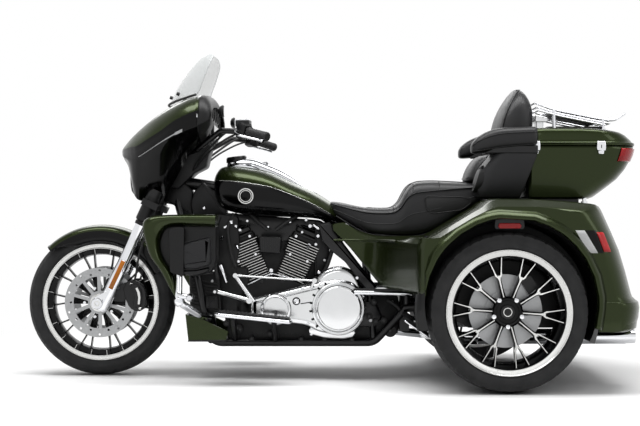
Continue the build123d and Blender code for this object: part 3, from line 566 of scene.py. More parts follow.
def bake(piece: bpy.types.Object) -> None:
    """Turns a piece's modifiers into its mesh."""
    graph = bpy.context.evaluated_depsgraph_get()
    graph.update()
    baked = bpy.data.meshes.new_from_object(piece.evaluated_get(graph), preserve_all_data_layers=True,
                                            depsgraph=graph)
    old = piece.data
    piece.modifiers.clear()
    piece.data = baked
    bpy.data.meshes.remove(old)


class Spread(Enum):
    """How a repeater lays out its copies."""

    RING = "ring"
    LINE = "line"


def repeater(kind: Spread) -> bpy.types.NodeTree:
    """Geometry Nodes tree that repeats a mesh round an axle or along a line.

    Args:
        kind: Ring or line.

    Returns:
        The tree, with inputs Count, Centre, Step (a line's step), Arc (a ring's arc in radians) and Finish.
    """
    name = f"repeat_{kind.value}"
    if name in bpy.data.node_groups:
        return bpy.data.node_groups[name]
    tree = bpy.data.node_groups.new(name, "GeometryNodeTree")
    for label, flow, kind_of in (
            ("Geometry", "INPUT", "Geometry"), ("Count", "INPUT", "Int"), ("Centre", "INPUT", "Vector"),
            ("Step", "INPUT", "Vector"), ("Arc", "INPUT", "Float"), ("Finish", "INPUT", "Material"),
            ("Geometry", "OUTPUT", "Geometry")):
        tree.interface.new_socket(label, in_out=flow, socket_type="NodeSocket" + kind_of)
    given = add_node(tree, "NodeGroupInput").outputs
    number = add_node(tree, "GeometryNodeInputIndex").outputs[0]
    if kind is Spread.RING:
        back = add_node(tree, "ShaderNodeVectorMath", {0: given["Centre"]}, operation="SCALE",
                        inputs={3: -1.0})
        unit = add_node(tree, "GeometryNodeTransform", {"Geometry": given["Geometry"],
                                                        "Translation": back.outputs[0]})
        share = add_node(tree, "ShaderNodeMath", {0: number, 1: given["Count"]}, operation="DIVIDE")
        angle = add_node(tree, "ShaderNodeMath", {0: share.outputs[0], 1: given["Arc"]},
                         operation="MULTIPLY")
        turn = add_node(tree, "ShaderNodeCombineXYZ", {"Y": angle.outputs[0]})
        spots = add_node(tree, "GeometryNodePoints",
                         {"Count": given["Count"], "Position": given["Centre"]})
        copies = add_node(tree, "GeometryNodeInstanceOnPoints", {
            "Points": spots.outputs[0], "Instance": unit.outputs[0], "Rotation": turn.outputs[0]})
    else:
        step = add_node(tree, "ShaderNodeVectorMath", {0: given["Step"], 3: number}, operation="SCALE")
        spots = add_node(tree, "GeometryNodePoints",
                         {"Count": given["Count"], "Position": step.outputs[0]})
        copies = add_node(tree, "GeometryNodeInstanceOnPoints", {
            "Points": spots.outputs[0], "Instance": given["Geometry"]})
    real = add_node(tree, "GeometryNodeRealizeInstances", {0: copies.outputs[0]})
    dressed = add_node(tree, "GeometryNodeSetMaterial", {"Geometry": real.outputs[0],
                                                         "Material": given["Finish"]})
    tree.links.new(dressed.outputs[0], add_node(tree, "NodeGroupOutput").inputs[0])
    return tree


def repeated(shape: Shape, name: str, finish: Finish, count: int, kind: Spread = Spread.RING,
             body: str = "chassis", slot: str = "", centre: Point = (0, 0, 0), step: Point = (0, 0, 0),
             **settings) -> None:
    """Repeats a shape with Geometry Nodes and turns the result into a plain piece.

    Args:
        shape: One copy, where the first one goes.
        name: The piece's name.
        finish: The finish.
        count: Number of copies.
        kind: Ring or line.
        body: The CAD body it moves with.
        slot: The record's material slot, where it isn't the finish's own; not used.
        centre: Centre of a ring, in millimetres.
        step: Step of a line, in millimetres.
        **settings: Edge settings of solid() for each copy.
    """
    piece = solid(shape, name, (finish,), **settings)
    tree = repeater(kind)
    copier = piece.modifiers.new("copies", "NODES")
    copier.node_group = tree
    sockets = {s.name: s.identifier for s in tree.interface.items_tree if s.in_out == "INPUT"}
    for label, value in (("Count", count), ("Centre", [c * MM for c in centre]),
                         ("Step", [c * MM for c in step]), ("Arc", math.tau), ("Finish", finish.build())):
        copier[sockets[label]] = value
    bake(piece)
    join(piece, body)


def dress(node: str, finish: Finish, frame: dict) -> None:
    """Gives a CAD node that stays its finish."""
    thing = frame["nodes"][node]
    thing.data.materials.clear()
    thing.data.materials.append(finish.build())


# Wheels


@dataclass
class Tyre:
    """A tyre with raised wall bands and cut tread grooves."""

    name: str
    node: str
    body: str
    axle: Flat
    middle: float
    outer: float
    half: float
    bead: float
    crown_drop: float
    grooves: int
    groove_depth: float = 3.5

    def profile(self) -> list[Flat]:
        """Half outline of the tyre from its bead to the middle of the tread."""
        low, high, half = self.bead, self.outer - self.crown_drop, self.half
        wall = [(low, half - 11), (low + 3, half - 8), (low + 8, half - 4.5)]
        for k in range(1, 9):
            t = k / 9
            r = low + 8 + (high - low - 8) * t
            wall.append((r, half - 4.5 + 4.0 * math.sin(math.pi * min(t * 1.15, 1.0)) - 3.5 * t * t))
        crown = []
        for k in range(13):
            t = k / 12
            y = (half - 8) * (1 - t)
            crown.append((high + self.crown_drop * (1 - (y / (half - 8)) ** 2.2), y))
        return wall + crown

    def build(self) -> None:
        """Makes the tyre."""
        half = self.profile()
        ring = [(r, y) for r, y in half] + [(r, -y) for r, y in reversed(half[:-1])]
        steps = 288
        rows = []
        for i in range(steps):
            turn = 2 * math.pi * i / steps
            row = []
            for r, y in ring:
                depth = self.groove(i / steps, y) if r > self.outer - self.crown_drop - 1 else 0.0
                row.append((self.axle[0] + (r - depth) * math.cos(turn), self.middle + y,
                            self.axle[1] + (r - depth) * math.sin(turn)))
            rows.append(row)
        shape = Shape().grid(rows, around=True, loop=True)
        make(shape, self.name, TYRE, self.node, body=self.body, sharp=50)

    def groove(self, share: float, y: float) -> float:
        """Depth of the tread's grooves at a place round the tyre."""
        band = abs(y) / self.half
        phase = (share * self.grooves + band * 0.55 + (0.25 if y > 0 else 0.0)) % 1.0
        cut = (phase < 0.16 and 0.22 < band < 0.93) or 0.1 < band < 0.16
        return self.groove_depth if cut else 0.0


@dataclass
class FrontWheel:
    """Cast 19 inch wheel: bright lip, black band and ten pairs of thin spokes, with two drilled discs."""

    axle: Flat = FRONT_AXLE
    spokes: int = 10

    def build(self) -> None:
        """Makes the wheel's pieces."""
        Tyre("front_tyre_tread", "front_tyre", "front_wheel", self.axle, 0.0, 317.6, 66.0, 252.5, 20.0,
             34).build()
        x, z = self.axle
        lip_half = [(252.3, 49), (252.3, 55.4), (250.5, 56.6), (248.5, 56.2), (247, 54.2), (236, 53.2),
                    (233.5, 54.6), (231.8, 54.4), (230.6, 52)]
        lips = Shape()
        for side in (1, -1):
            back = [(230.6, 46), (252.3, 46)]
            lips.lathe([(r, y * side) for r, y in lip_half + back], self.axle, 144)
        make(lips, "front_rim_lips", MACHINED, body="front_wheel", slot="rim_black", sharp=28)
        well = [(251, 46), (240, 44), (239, 24), (222, 15), (222, -15), (239, -24), (240, -44), (251, -46),
                (230.6, -46), (228, -40), (208, -36), (204, -18), (203, 0), (204, 18), (208, 36),
                (228, 40), (230.6, 46)]
        band = Shape().lathe(well, self.axle, 144)
        band.lathe([(37, 70), (37, -70), (12.2, -70), (12.2, 70)], self.axle, 48)
        band.lathe([(60, 18), (54, 44), (37, 60), (37, -60), (54, -44), (60, -18)], self.axle, 48)
        make(band, "front_rim_barrel", BLACK, "front_rim", body="front_wheel", sharp=30)

        unit = Shape()
        for side in (-1, 1):
            root, knee, foot = (56, side * 5), (128, side * 8.5), (210, side * 24)
            rows = []
            for (r, off), wide, deep in ((root, 8, 30), (knee, 6.0, 21), ((170, side * 15.5), 4.2, 17),
                                         (foot, 4.2, 20), ((214, side * 25), 6.5, 24)):
                rows.append([(x + r, y, z + off + w) for y, w in ((-deep, -wide * 0.6),
                    (-deep, wide * 0.6), (0, wide), (deep, wide * 0.6), (deep, -wide * 0.6), (0, -wide))])
            unit.loft(rows)
        unit.slab([(x + 50, z - 12), (x + 132, z - 15), (x + 138, z), (x + 132, z + 15), (x + 50, z + 12)],
                  -18, 18)
        unit = unit.moved(about(self.axle, 2.0))
        repeated(unit, "front_spokes", BLACK, self.spokes, body="front_wheel", centre=(x, 0, z), bevel=0.9)

        foot_pad = Shape()
        for side in (-1, 1):
            for y in (44.5, -44.5):
                foot_pad.slab([(x + 206, z + side * 26 - 7), (x + 229.5, z + side * 28 - 8),
                               (x + 229.5, z + side * 28 + 8), (x + 206, z + side * 26 + 7)], y - 3.5,
                              y + 3.5)
        repeated(foot_pad.moved(about(self.axle, 2.0)), "front_spoke_pads", BLACK, self.spokes,
                 body="front_wheel", centre=(x, 0, z), bevel=1.0)
        slit = Shape()
        for y in (48.4, -48.4):
            for side in (-1, 1):
                slit.slab([(x + 207, z + side * 34 - 0.7), (x + 229, z + side * 37 - 0.7),
                           (x + 229, z + side * 37 + 0.7), (x + 207, z + side * 34 + 0.7)], y - 0.5,
                          y + 0.5)
        repeated(slit.moved(about(self.axle, 2.0)), "front_rim_cuts", MACHINED, self.spokes,
                 body="front_wheel", slot="rim_black", centre=(x, 0, z))
        bolts = Shape()
        for side in (1, -1):
            bolts.bolt((x + 64, side * 83, z), 6.5, 4.5, 12, along=LEFT * side)
        repeated(bolts, "disc_bolts", CHROME, 5, body="front_wheel", centre=(x, 0, z))
        caps = Shape()
        for side in (1, -1):
            caps.lathe([(20, 83 * side), (40, 83 * side), (40, 85 * side), (30, 90 * side),
                        (20, 91 * side)], self.axle, 40)
        make(caps, "front_hub_rings", MACHINED, body="front_wheel", slot="steel", sharp=30)


@dataclass
class RearWheel:
    """Cast 18 inch wheel: bright lip, black Y spokes with machined edges, five nuts and a blank cap."""

    side: Side
    axle: Flat = REAR_AXLE
    spokes: int = 10

    def y(self, offset: float) -> float:
        """Lateral place from an offset outwards from the tyre's middle."""
        return self.side.value * (REAR_WHEEL_Y + offset)

    def turned(self, profile: Sequence[Flat], steps: int) -> Shape:
        """Ring from a profile of (radius, offset) points."""
        return Shape().lathe([(r, self.y(y)) for r, y in profile], self.axle, steps)

    def build(self) -> None:
        """Makes the wheel's pieces."""
        name = self.side.name.lower()
        body = f"rear_wheel_{name}"
        Tyre(f"rear_tyre_tread_{name}", f"rear_tyre_{name}", body, self.axle, self.y(0), 315.7, 107.0,
             247.0, 13.0, 44).build()
        x, z = self.axle
        lip = [(246.6, 94), (246.6, 99.5), (244.6, 101.6), (242, 101.2), (240, 99), (227, 97.4),
               (224, 98.4), (222, 98), (220.6, 95), (221, 88), (246.6, 88)]
        lips = self.turned(lip, 160)
        back = [(246.6, -94), (246.6, -101), (236, -101), (232, -90), (240, -86)]
        lips.joined(self.turned(back, 120))
        make(lips, f"rear_rim_lip_{name}", MACHINED, body=body, slot="rim_black", sharp=28)
        well = [(240, 88), (228, 86), (212, 60), (212, -60), (228, -86), (240, -92), (234, -96),
                (206, -60), (200, -30), (200, 30), (208, 62), (218, 90), (220.6, 92)]
        barrel = self.turned(well, 144)
        hub = [(20.2, -8), (60, -8), (62, 20), (61, 40), (54, 47), (46, 48), (44, 44), (30, 43),
               (20.2, 42)]
        barrel.joined(self.turned(hub, 64))
        make(barrel, f"rear_rim_barrel_{name}", BLACK, f"rear_rim_{name}", body=body, sharp=30)

        unit, faces = Shape(), Shape()
        stem = [(50, 0.0, 11.0, 44, 16), (86, 0.0, 7.5, 46, 14), (128, 0.0, 7.0, 54, 20),
                (146, 0.0, 11.0, 58, 26)]
        self.bar(unit, stem)
        for arm in (-1, 1):
            self.bar(unit, [(138, arm * 4.0, 5.0, 57, 26), (158, arm * 12.0, 4.2, 63, 34),
                            (222, arm * 27.0, 4.2, 86, 56)])
            self.strip(faces, [(139, arm * 4.5, 57.2), (149, arm * 10.5, 60.2), (160, arm * 12.6, 63.4),
                               (221, arm * 27.0, 85.8)], [3.2, 3.4, 2.0, 1.3])
        self.strip(faces, [(60, 0.0, 45.2), (90, 0.0, 46.6), (128, 0.0, 54.3), (147, 0.0, 58.4)],
                   [1.6, 2.2, 2.8, 8.0])
        turn = about(self.axle, 3.6)
        repeated(unit.moved(turn), f"rear_spokes_{name}", BLACK, self.spokes, body=body, centre=(x, 0, z),
                 bevel=0.8)
        repeated(faces.moved(turn), f"rear_spoke_faces_{name}", MACHINED, self.spokes, body=body,
                 slot="rim_black", centre=(x, 0, z), sharp=60)
        nut = Shape()
        nx, nz = x + 57.15 * math.cos(math.radians(54)), z + 57.15 * math.sin(math.radians(54))
        nut.tube([(nx, self.y(30), nz), (nx, self.y(54), nz), (nx, self.y(59), nz), (nx, self.y(61), nz)],
                 [10.5, 10.5, 8.5, 4.0], 18)
        repeated(nut, f"rear_nuts_{name}", CHROME, 5, body=body, centre=(x, 0, z))
        cap = self.turned([(0.3, 44), (0.3, 51), (14, 50.6), (16, 49), (18, 50.4), (27, 48.6), (29, 46),
                           (29, 43)], 48)
        make(cap, f"rear_hub_cap_{name}", SATIN, body=body, slot="rim_black", sharp=30)
        ring = self.turned([(14.5, 50.7), (17.5, 50.5), (17.5, 51.6), (14.5, 51.8)], 40)
        make(ring, f"rear_cap_ring_{name}", MACHINED, body=body, sharp=30)

    def bar(self, shape: Shape, rows: Sequence[tuple[float, float, float, float, float]]) -> None:
        """Adds a spoke's bar from rows of radius, offset, half width, face y and back y."""
        x, z = self.axle
        rings = []
        for r, off, half, face, back in rows:
            rings.append([(x + r, self.y(y), z + off + w) for y, w in ((back, -half * 1.15),
                (back, half * 1.15), (face - 5, half), (face, half * 0.55), (face, -half * 0.55),
                (face - 5, -half))])
        shape.loft(rings)

    def strip(self, shape: Shape, spots: Sequence[Point], halves: Sequence[float]) -> None:
        """Adds a thin machined strip on a spoke's face from (radius, offset, y) spots."""
        x, z = self.axle
        rings = []
        for (r, off, y), half in zip(spots, halves):
            rings.append([(x + r, self.y(y + d), z + off + w) for d, w in (
                (-1.5, -half), (-1.5, half), (0.5, half), (0.5, -half))])
        shape.loft(rings)


# Front end


@dataclass
class FrontFender:
    """Deep steel mudguard: olive crown, black skirts, rolled edges and brackets to the fork legs."""

    axle: Flat = FRONT_AXLE
    first: float = 46.5
    last: float = 153.5
    crown: float = 334.6
    skirt: float = 262.0

    def low(self, angle: float) -> float:
        """Radius of the skirt's lower edge at an angle, deeper behind the tip."""
        share = min(max((angle - self.first) / 24.0, 0.0), 1.0)
        return 306.0 - (306.0 - self.skirt) * (3 * share ** 2 - 2 * share ** 3)

    def spot(self, radius: float, y: float, angle: float) -> Vector:
        """Point from a radius, y and angle about the axle."""
        turn = math.radians(angle)
        return Vector((self.axle[0] + radius * math.cos(turn), y, self.axle[1] + radius * math.sin(turn)))

    def build(self) -> None:
        """Makes the mudguard."""
        crown = [(308.5, 84), (314, 82.5), (321, 76), (327, 64), (331, 44), (333.8, 22), (self.crown, 0)]
        crown += [(r, -y) for r, y in reversed(crown[:-1])]
        green_rows, left, edge = [], [], []
        for k in range(55):
            angle = self.first + (self.last - self.first) * k / 54
            green_rows.append([self.spot(r, y, angle) for r, y in crown])
            low = min(self.low(angle), 307.0)
            left.append([self.spot(r, y, angle) for r, y in (
                (low, 83.4), ((low + 308) / 2, 84.4), (308.5, 84))])
            edge.append(tuple(self.spot(low, 83.0, angle)))
        shell = Shape().grid(green_rows)
        skirts = Shape().grid(left, mark=1).both()
        make(shell.joined(skirts), "front_fender_shell", (GREEN, BLACK), "front_fender", body="steering",
             sharp=50, thick=3.2)
        trim = Shape().tube(edge, 2.6, 8).both()
        tip = [tuple(self.spot(r, y, self.first)) for r, y in crown]
        trim.tube(tip, 2.4, 8)
        make(trim, "front_fender_edge", BLACK, body="steering", slot="green_paint", sharp=60)
        bracket = Shape().slab([(804, 566), (838, 556), (862, 604), (822, 618)], 83.5, 101.5)
        for x, z in ((824, 582), (842, 600)):
            bracket.bolt((x - 30, 84, z + 12), 5.5, 4)
        make(bracket.both(), "front_fender_brackets", SATIN, body="steering", bevel=1.5)


@dataclass
class Fork:
    """Chrome legs, upper covers, amber side markers and four-piston calipers."""

    leg_y: float = 127.0

    def at(self, z: float, behind: float = 0.0) -> Vector:
        """Point on the left leg's line at height z."""
        return Vector((959.0 - (z - 318.0) * math.tan(RAKE) - behind, self.leg_y, z))

    def build(self) -> None:
        """Makes the fork's pieces."""
        up = Vector((-math.sin(RAKE), 0, math.cos(RAKE)))
        foot = self.at(290)
        leg = Shape()
        # distance up the leg, radius
        steps = [(-6, 20), (0, 25), (8, 27), (150, 27.2), (196, 26.8), (208, 25.4), (330, 25.2),
                 (392, 25.0), (396, 27.0), (410, 27.0), (413, 24.0), (430, 24.0)]
        leg.tube([tuple(foot + up * d) for d, _ in steps], [r for _, r in steps], 40)
        boss = [(966, 296), (1004, 296), (1013, 318), (1004, 342), (985, 352), (948, 372), (930, 350),
                (944, 312)]
        leg.slab(boss, 104, 151)
        leg.lathe([(8.4, 140), (24, 140), (24.5, 157), (22, 160.5), (12.5, 161), (8.4, 160)], FRONT_AXLE,
                  40)
        make(leg.both(), "fork_leg_castings", CHROME, "fork_legs", body="steering", slot="polished_alloy",
             sharp=40, bevel=1.2)
        seal = Shape()
        for low, high, r in ((398, 412, 29.5), (404, 420, 26.5)):
            seal.tube([tuple(foot + up * low), tuple(foot + up * high)], r, 36)
        can = [(414, 26), (418, 33), (424, 34.2), (520, 34.6), (546, 33), (552, 27)]
        seal.tube([tuple(foot + up * d) for d, _ in can], [r for _, r in can], 36)
        make(seal.both(), "fork_covers", PLASTIC, body="steering", slot="black_paint", sharp=35)
        self.markers(up)
        self.calipers()

    def markers(self, up: Vector) -> None:
        """Amber strips in chrome frames along the legs' outer faces."""
        side = Vector((math.cos(RAKE), 0, math.sin(RAKE)))
        middle = self.at(440) + Vector((0, 27, 0))
        rim = ((-1, -0.8), (-0.97, -1), (0.97, -1), (1, -0.8), (1, 0.8), (0.97, 1), (-0.97, 1), (-1, 0.8))
        frame, lens = Shape(), Shape()
        for shape, long, wide, low, high in ((frame, 69, 12.2, -7.0, 3.0), (lens, 65.5, 9.6, 1.0, 4.8)):
            rows = []
            for depth, trim in ((low, 0.0), (high - 1.2, 0.0), (high, 1.4)):
                rows.append([middle + up * u * (long - trim) + side * v * (wide - trim)
                             + Vector((0, depth, 0)) for u, v in rim])
            shape.loft(rows)
        make(frame.both(), "marker_frames", CHROME, body="steering", slot="polished_alloy", sharp=40)
        make(lens.both(), "amber_markers", AMBER, "fork_markers", body="steering", sharp=40)

    def calipers(self) -> None:
        """Brake calipers that reach over the discs behind the legs."""
        body = [(872, 404), (858, 413), (838, 414), (818, 406), (801, 392), (790, 370), (786, 344),
                (788, 312), (797, 290), (812, 281), (836, 283), (850, 292), (862, 306), (872, 330),
                (880, 352), (884, 378)]
        outer = Shape().slab(body, 86.0, 101)
        ridge = [(856, 398), (836, 402), (818, 392), (806, 372), (802, 346), (804, 318), (814, 298),
                 (832, 296), (840, 312), (836, 344), (842, 372)]
        outer.slab(ridge, 100, 108)
        outer.slab(body, 62, 75)
        outer.slab([(786, 350), (798, 392), (806, 398), (800, 340), (806, 290), (796, 292), (788, 312)],
                   74, 87)
        outer.slab([(884, 320), (936, 326), (944, 352), (914, 398), (872, 404), (866, 340)], 89, 100)
        make(outer.both(), "caliper_bodies", SATIN, "front_calipers", body="steering", bevel=2.4)
        bits = Shape()
        for x, z in ((850, 396), (812, 294), (926, 340), (906, 384)):
            bits.bolt((x, 100, z), 6.5, 6, 6)
        bits.slab([(822, 384), (812, 364), (809, 340), (812, 312), (820, 312), (818, 340), (822, 362),
                   (830, 380)], 107.5, 110.5)
        make(bits.both(), "caliper_bolts", MACHINED, body="steering", slot="steel", sharp=30)
        hose = Shape().tube([(836, 96, 412), (826, 104, 450), (812, 150, 520), (770, 160, 640),
                             (730, 120, 740)], 4.5, 10, bend=60)
        make(hose.both(), "brake_hoses", RUBBER, body="steering", sharp=60)


@dataclass
class Fairing:
    """Fork-mounted fairing: olive shell, black chin with a slit lamp, rear housing, dials and screen."""

    # x, low z, low y, slit z, slit y, green edge z, green edge y, shoulder z, shoulder y, top z
    stations: tuple[tuple[float, ...], ...] = (
        (896, 958, 30, 962, 46, 968, 50, 974, 36, 977),
        (884, 934, 66, 950, 104, 972, 112, 984, 84, 994),
        (862, 896, 86, 936, 146, 976, 166, 1002, 128, 1016),
        (842, 800, 100, 930, 176, 979, 204, 1018, 160, 1036),
        (826, 766, 106, 931, 198, 981, 230, 1030, 180, 1050),
        (802, 757, 114, 936, 226, 984, 262, 1046, 206, 1073),
        (750, 768, 128, 962, 282, 1010, 314, 1080, 252, 1116),
        (697, 782, 140, 992, 324, 1039, 350, 1110, 288, 1152),
        (640, 866, 176, 1022, 356, 1077, 376, 1142, 312, 1181),
        (590, 948, 206, 1044, 376, 1102, 392, 1165, 326, 1200),
        (536, 1000, 246, 1062, 392, 1122, 401, 1180, 332, 1208),
    )
    # Depth of the housing as a share of its table, then the table: x, low z, low y, wide z, wide y,
    # and so on to the top
    depth: float = 0.62
    housing: tuple[tuple[float, ...], ...] = (
        (539, 1000, 244, 1092, 399, 1178, 330, 1206),
        (522, 1004, 246, 1096, 401, 1180, 330, 1209),
        (490, 1024, 250, 1100, 400, 1176, 326, 1205),
        (462, 1050, 256, 1102, 392, 1164, 316, 1190),
        (448, 1072, 262, 1104, 380, 1146, 306, 1168),
        (447, 1080, 260, 1104, 366, 1136, 298, 1156),
        (462, 1078, 258, 1104, 362, 1138, 296, 1160),
        (506, 1060, 256, 1102, 366, 1146, 300, 1172),
    )

    def build(self) -> None:
        """Makes the fairing's pieces."""
        black, green = [], []
        for x, zl, yl, zs, ys, zg, yg, zh, yh, zt in table_rows(self.stations, 4):
            side = [(yl, zl), (yl + (ys - yl) * 0.42, zl + (zs - zl) * 0.42),
                    (yl + (ys - yl) * 0.78, zl + (zs - zl) * 0.8), (ys - 1, zs - 5), (ys + 1, zs),
                    (ys + 1.5, zs + 5), (ys + (yg - ys) * 0.62, zs + (zg - zs) * 0.55), (yg - 0.6, zg - 2),
                    (yg, zg)]
            top = [(yg, zg), (yg - (yg - yh) * 0.16, zg + (zh - zg) * 0.36),
                   (yh + (yg - yh) * 0.34, zg + (zh - zg) * 0.76), (yh, zh),
                   (yh * 0.72, zh + (zt - zh) * 0.5), (yh * 0.4, zh + (zt - zh) * 0.85), (0, zt)]
            black.append([(x, y, z) for y, z in side])
            green.append(whole(x, top))
        shell = Shape().grid(green)
        sides = Shape().grid(black, mark=1)
        nose = black[0] + green[0][1:-1] + [(x, -y, z) for x, y, z in reversed(black[0])]
        across = (1, 0.5, 0, -0.5, -1)
        under = Shape().grid([[(row[0][0], row[0][1] * s, row[0][2] - 3 * (1 - s * s)) for s in across]
                              for row in black[:20]], mark=1)
        shell.joined(sides.both()).joined(under).cap(nose, 1)
        make(shell, "fairing_outer", (GREEN, BLACK), "fairing_shell", body="steering", sharp=38, thick=3.5)
        self.slit()
        self.rear_housing()
        self.nose_lamp()
        self.screen()

    def slit(self) -> None:
        """Bright slit lamp along the black flank."""
        line = [r for r in table_rows(self.stations, 4) if 597 <= r[0] <= 806]
        rows = []
        for k, r in enumerate(line):
            share = k / (len(line) - 1)
            half = 1.3 + 1.7 * share + (3.4 if share > 0.86 else 0.0)
            x, z, y = r[0], r[3] + 2, r[4] + 1.6
            rows.append([(x, y - 4, z - half), (x, y + 0.8, z - half), (x, y + 1.6, z),
                         (x, y + 0.8, z + half), (x, y - 4, z + half)])
        lamp = Shape().loft(rows)
        make(lamp.both(), "slit_lamps", CLEAR, body="steering", sharp=35)

    def rear_housing(self) -> None:
        """Black housing behind the shell, with its dash, dials and display."""
        rows = []
        for x, zl, yl, zw, yw, zh, yh, zt in table_rows(self.housing, 3):
            x = 539 - (539 - x) * self.depth
            half = [(yl, zl), (yl + (yw - yl) * 0.6, zl + (zw - zl) * 0.25),
                    (yw - 3, zl + (zw - zl) * 0.66), (yw, zw),
                    (yw - (yw - yh) * 0.12, zw + (zh - zw) * 0.4),
                    (yh + (yw - yh) * 0.36, zw + (zh - zw) * 0.8), (yh, zh),
                    (yh * 0.7, zh + (zt - zh) * 0.55), (yh * 0.36, zh + (zt - zh) * 0.88), (0, zt)]
            rows.append(whole(x, half))
        shell = Shape().grid(rows)
        make(shell, "fairing_housing", PLASTIC, body="steering", sharp=40, thick=3.0)
        seam = Shape().tube([(p[0] + 1, p[1] * 1.002, p[2] + 0.6) for p in rows[0][3:-3]], 2.2, 8)
        make(seam, "fairing_seam", CHROME, body="steering", sharp=60)
        dash = [(-366, 1092), (-330, 1140), (-250, 1160), (0, 1172), (250, 1160), (330, 1140), (366, 1092),
                (300, 1064), (200, 1046), (96, 1002), (-96, 1002), (-200, 1046), (-300, 1064)]
        panel = Shape().slab(dash, 503, 512, plane="yz")
        panel.slab([(-128, 1012), (128, 1012), (134, 1084), (118, 1098), (-118, 1098), (-134, 1084)], 494,
                   505, plane="yz")
        make(panel, "fairing_dash", PLASTIC, "fairing_panel", body="steering", bevel=3.0)
        glass = Shape().slab([(-116, 1020), (116, 1020), (120, 1080), (-120, 1080)], 491.5, 495,
                             plane="yz")
        make(glass, "dash_display", DIAL, body="steering", slot="clear_lens", bevel=1.5)
        rims, faces, hands = Shape(), Shape(), Shape()
        for y, z, r in ((-232, 1112, 30), (-152, 1124, 27), (-56, 1132, 36), (56, 1132, 36),
                        (152, 1124, 27), (232, 1112, 30)):
            for shape, prof in ((rims, [(r, 504), (r, 496), (r - 2, 494.5), (r - 5, 495), (r - 6, 501)]),
                                (faces, [(r - 4, 502), (r - 4, 499.5), (0.4, 499.5)])):
                rows = [[(d, y + q * math.cos(a), z + q * math.sin(a)) for q, d in prof]
                        for a in angles(36)]
                shape.grid(rows, loop=True)
            hands.slab([(y - 1, z - 4), (y + 1, z - 4), (y + r * 0.5 + 0.5, z + r * 0.55),
                        (y + r * 0.5 - 0.5, z + r * 0.58)], 497.6, 498.8, plane="yz")
            for k in range(9):
                a = math.radians(-40 + k * 32.5)
                c, s = math.cos(a), math.sin(a)
                hands.slab([(y + c * (r - 11) - s, z + s * (r - 11) + c),
                            (y + c * (r - 7) - s, z + s * (r - 7) + c),
                            (y + c * (r - 7) + s, z + s * (r - 7) - c),
                            (y + c * (r - 11) + s, z + s * (r - 11) - c)], 498.4, 499.3, plane="yz")
        make(rims, "dial_rims", SATIN, body="steering", slot="chrome", sharp=40)
        make(faces, "dial_faces", DIAL, body="steering", sharp=40)
        make(hands, "dial_marks", MACHINED, body="steering", sharp=40)

    def nose_lamp(self) -> None:
        """Headlamp set in the chin: a bright reflector bowl behind a clear lens with a black bezel."""
        bowl, lens, bezel = Shape(), Shape(), Shape()
        z, r = 862.0, 68.0
        for shape, prof in ((bowl, [(r - 5, 845), (r * 0.7, 830), (r * 0.3, 815), (2, 812)]),
                            (lens, [(r - 3, 847), (r * 0.8, 856), (r * 0.5, 862), (r * 0.2, 865),
                                    (0.5, 866)]),
                            (bezel, [(r + 9, 838), (r + 8, 852), (r + 2, 857), (r - 4, 851),
                                     (r - 5, 838)])):
            rows = [[(d, q * 1.05 * math.cos(a), z + q * math.sin(a)) for q, d in prof]
                    for a in angles(56)]
            shape.grid(rows, loop=True)
        make(bowl, "headlamp_bowl", CHROME, body="steering", sharp=60)
        make(lens, "headlamp_lens", SCREEN, "headlamp", body="steering", slot="clear_lens", sharp=60)
        make(bezel, "headlamp_bezel", BLACK, body="steering", slot="black_paint", sharp=40)

    def screen(self) -> None:
        """Clear screen with a rolled black gasket and three fasteners."""
        # middle x, middle z, edge x, edge z, edge y
        lines = ((696, 1168, 556, 1196, 250), (666, 1236, 541, 1222, 250), (642, 1276, 530, 1256, 248),
                 (612, 1322, 516, 1292, 243), (582, 1360, 503, 1330, 232), (560, 1385, 494, 1354, 214),
                 (540, 1399, 491, 1372, 184), (522, 1405, 495, 1388, 140))
        rows = []
        for xm, zm, xe, ze, ye in table_rows(lines, 3):
            rows.append([(xm + (xe - xm) * s * s, ye * s, zm + (ze - zm) * s * s)
                         for s in (k / 14 for k in range(-14, 15))])
        sheet = Shape().grid(rows)
        make(sheet, "screen_sheet", SCREEN, "windscreen", body="steering", sharp=60, thick=4.0)
        base = [tuple(Vector(p) + Vector((2, 0, 2))) for p in rows[0]]
        gasket = Shape().tube(base, 5.0, 10)
        for y in (-150, 0, 150):
            spot = min(rows[1], key=lambda p: abs(p[1] - y))
            gasket.tube([(spot[0] - 4, spot[1], spot[2] + 12), (spot[0] + 8, spot[1], spot[2] + 16)], 7.5,
                        16)
        make(gasket, "screen_gasket", RUBBER, body="steering", sharp=50)
        rim = rows[-1]
        edges = [row[0] for row in rows] + rim[1:-1] + [row[-1] for row in reversed(rows)]
        make(Shape().tube(edges, 2.4, 8), "screen_edge", SCREEN, body="steering", sharp=60)


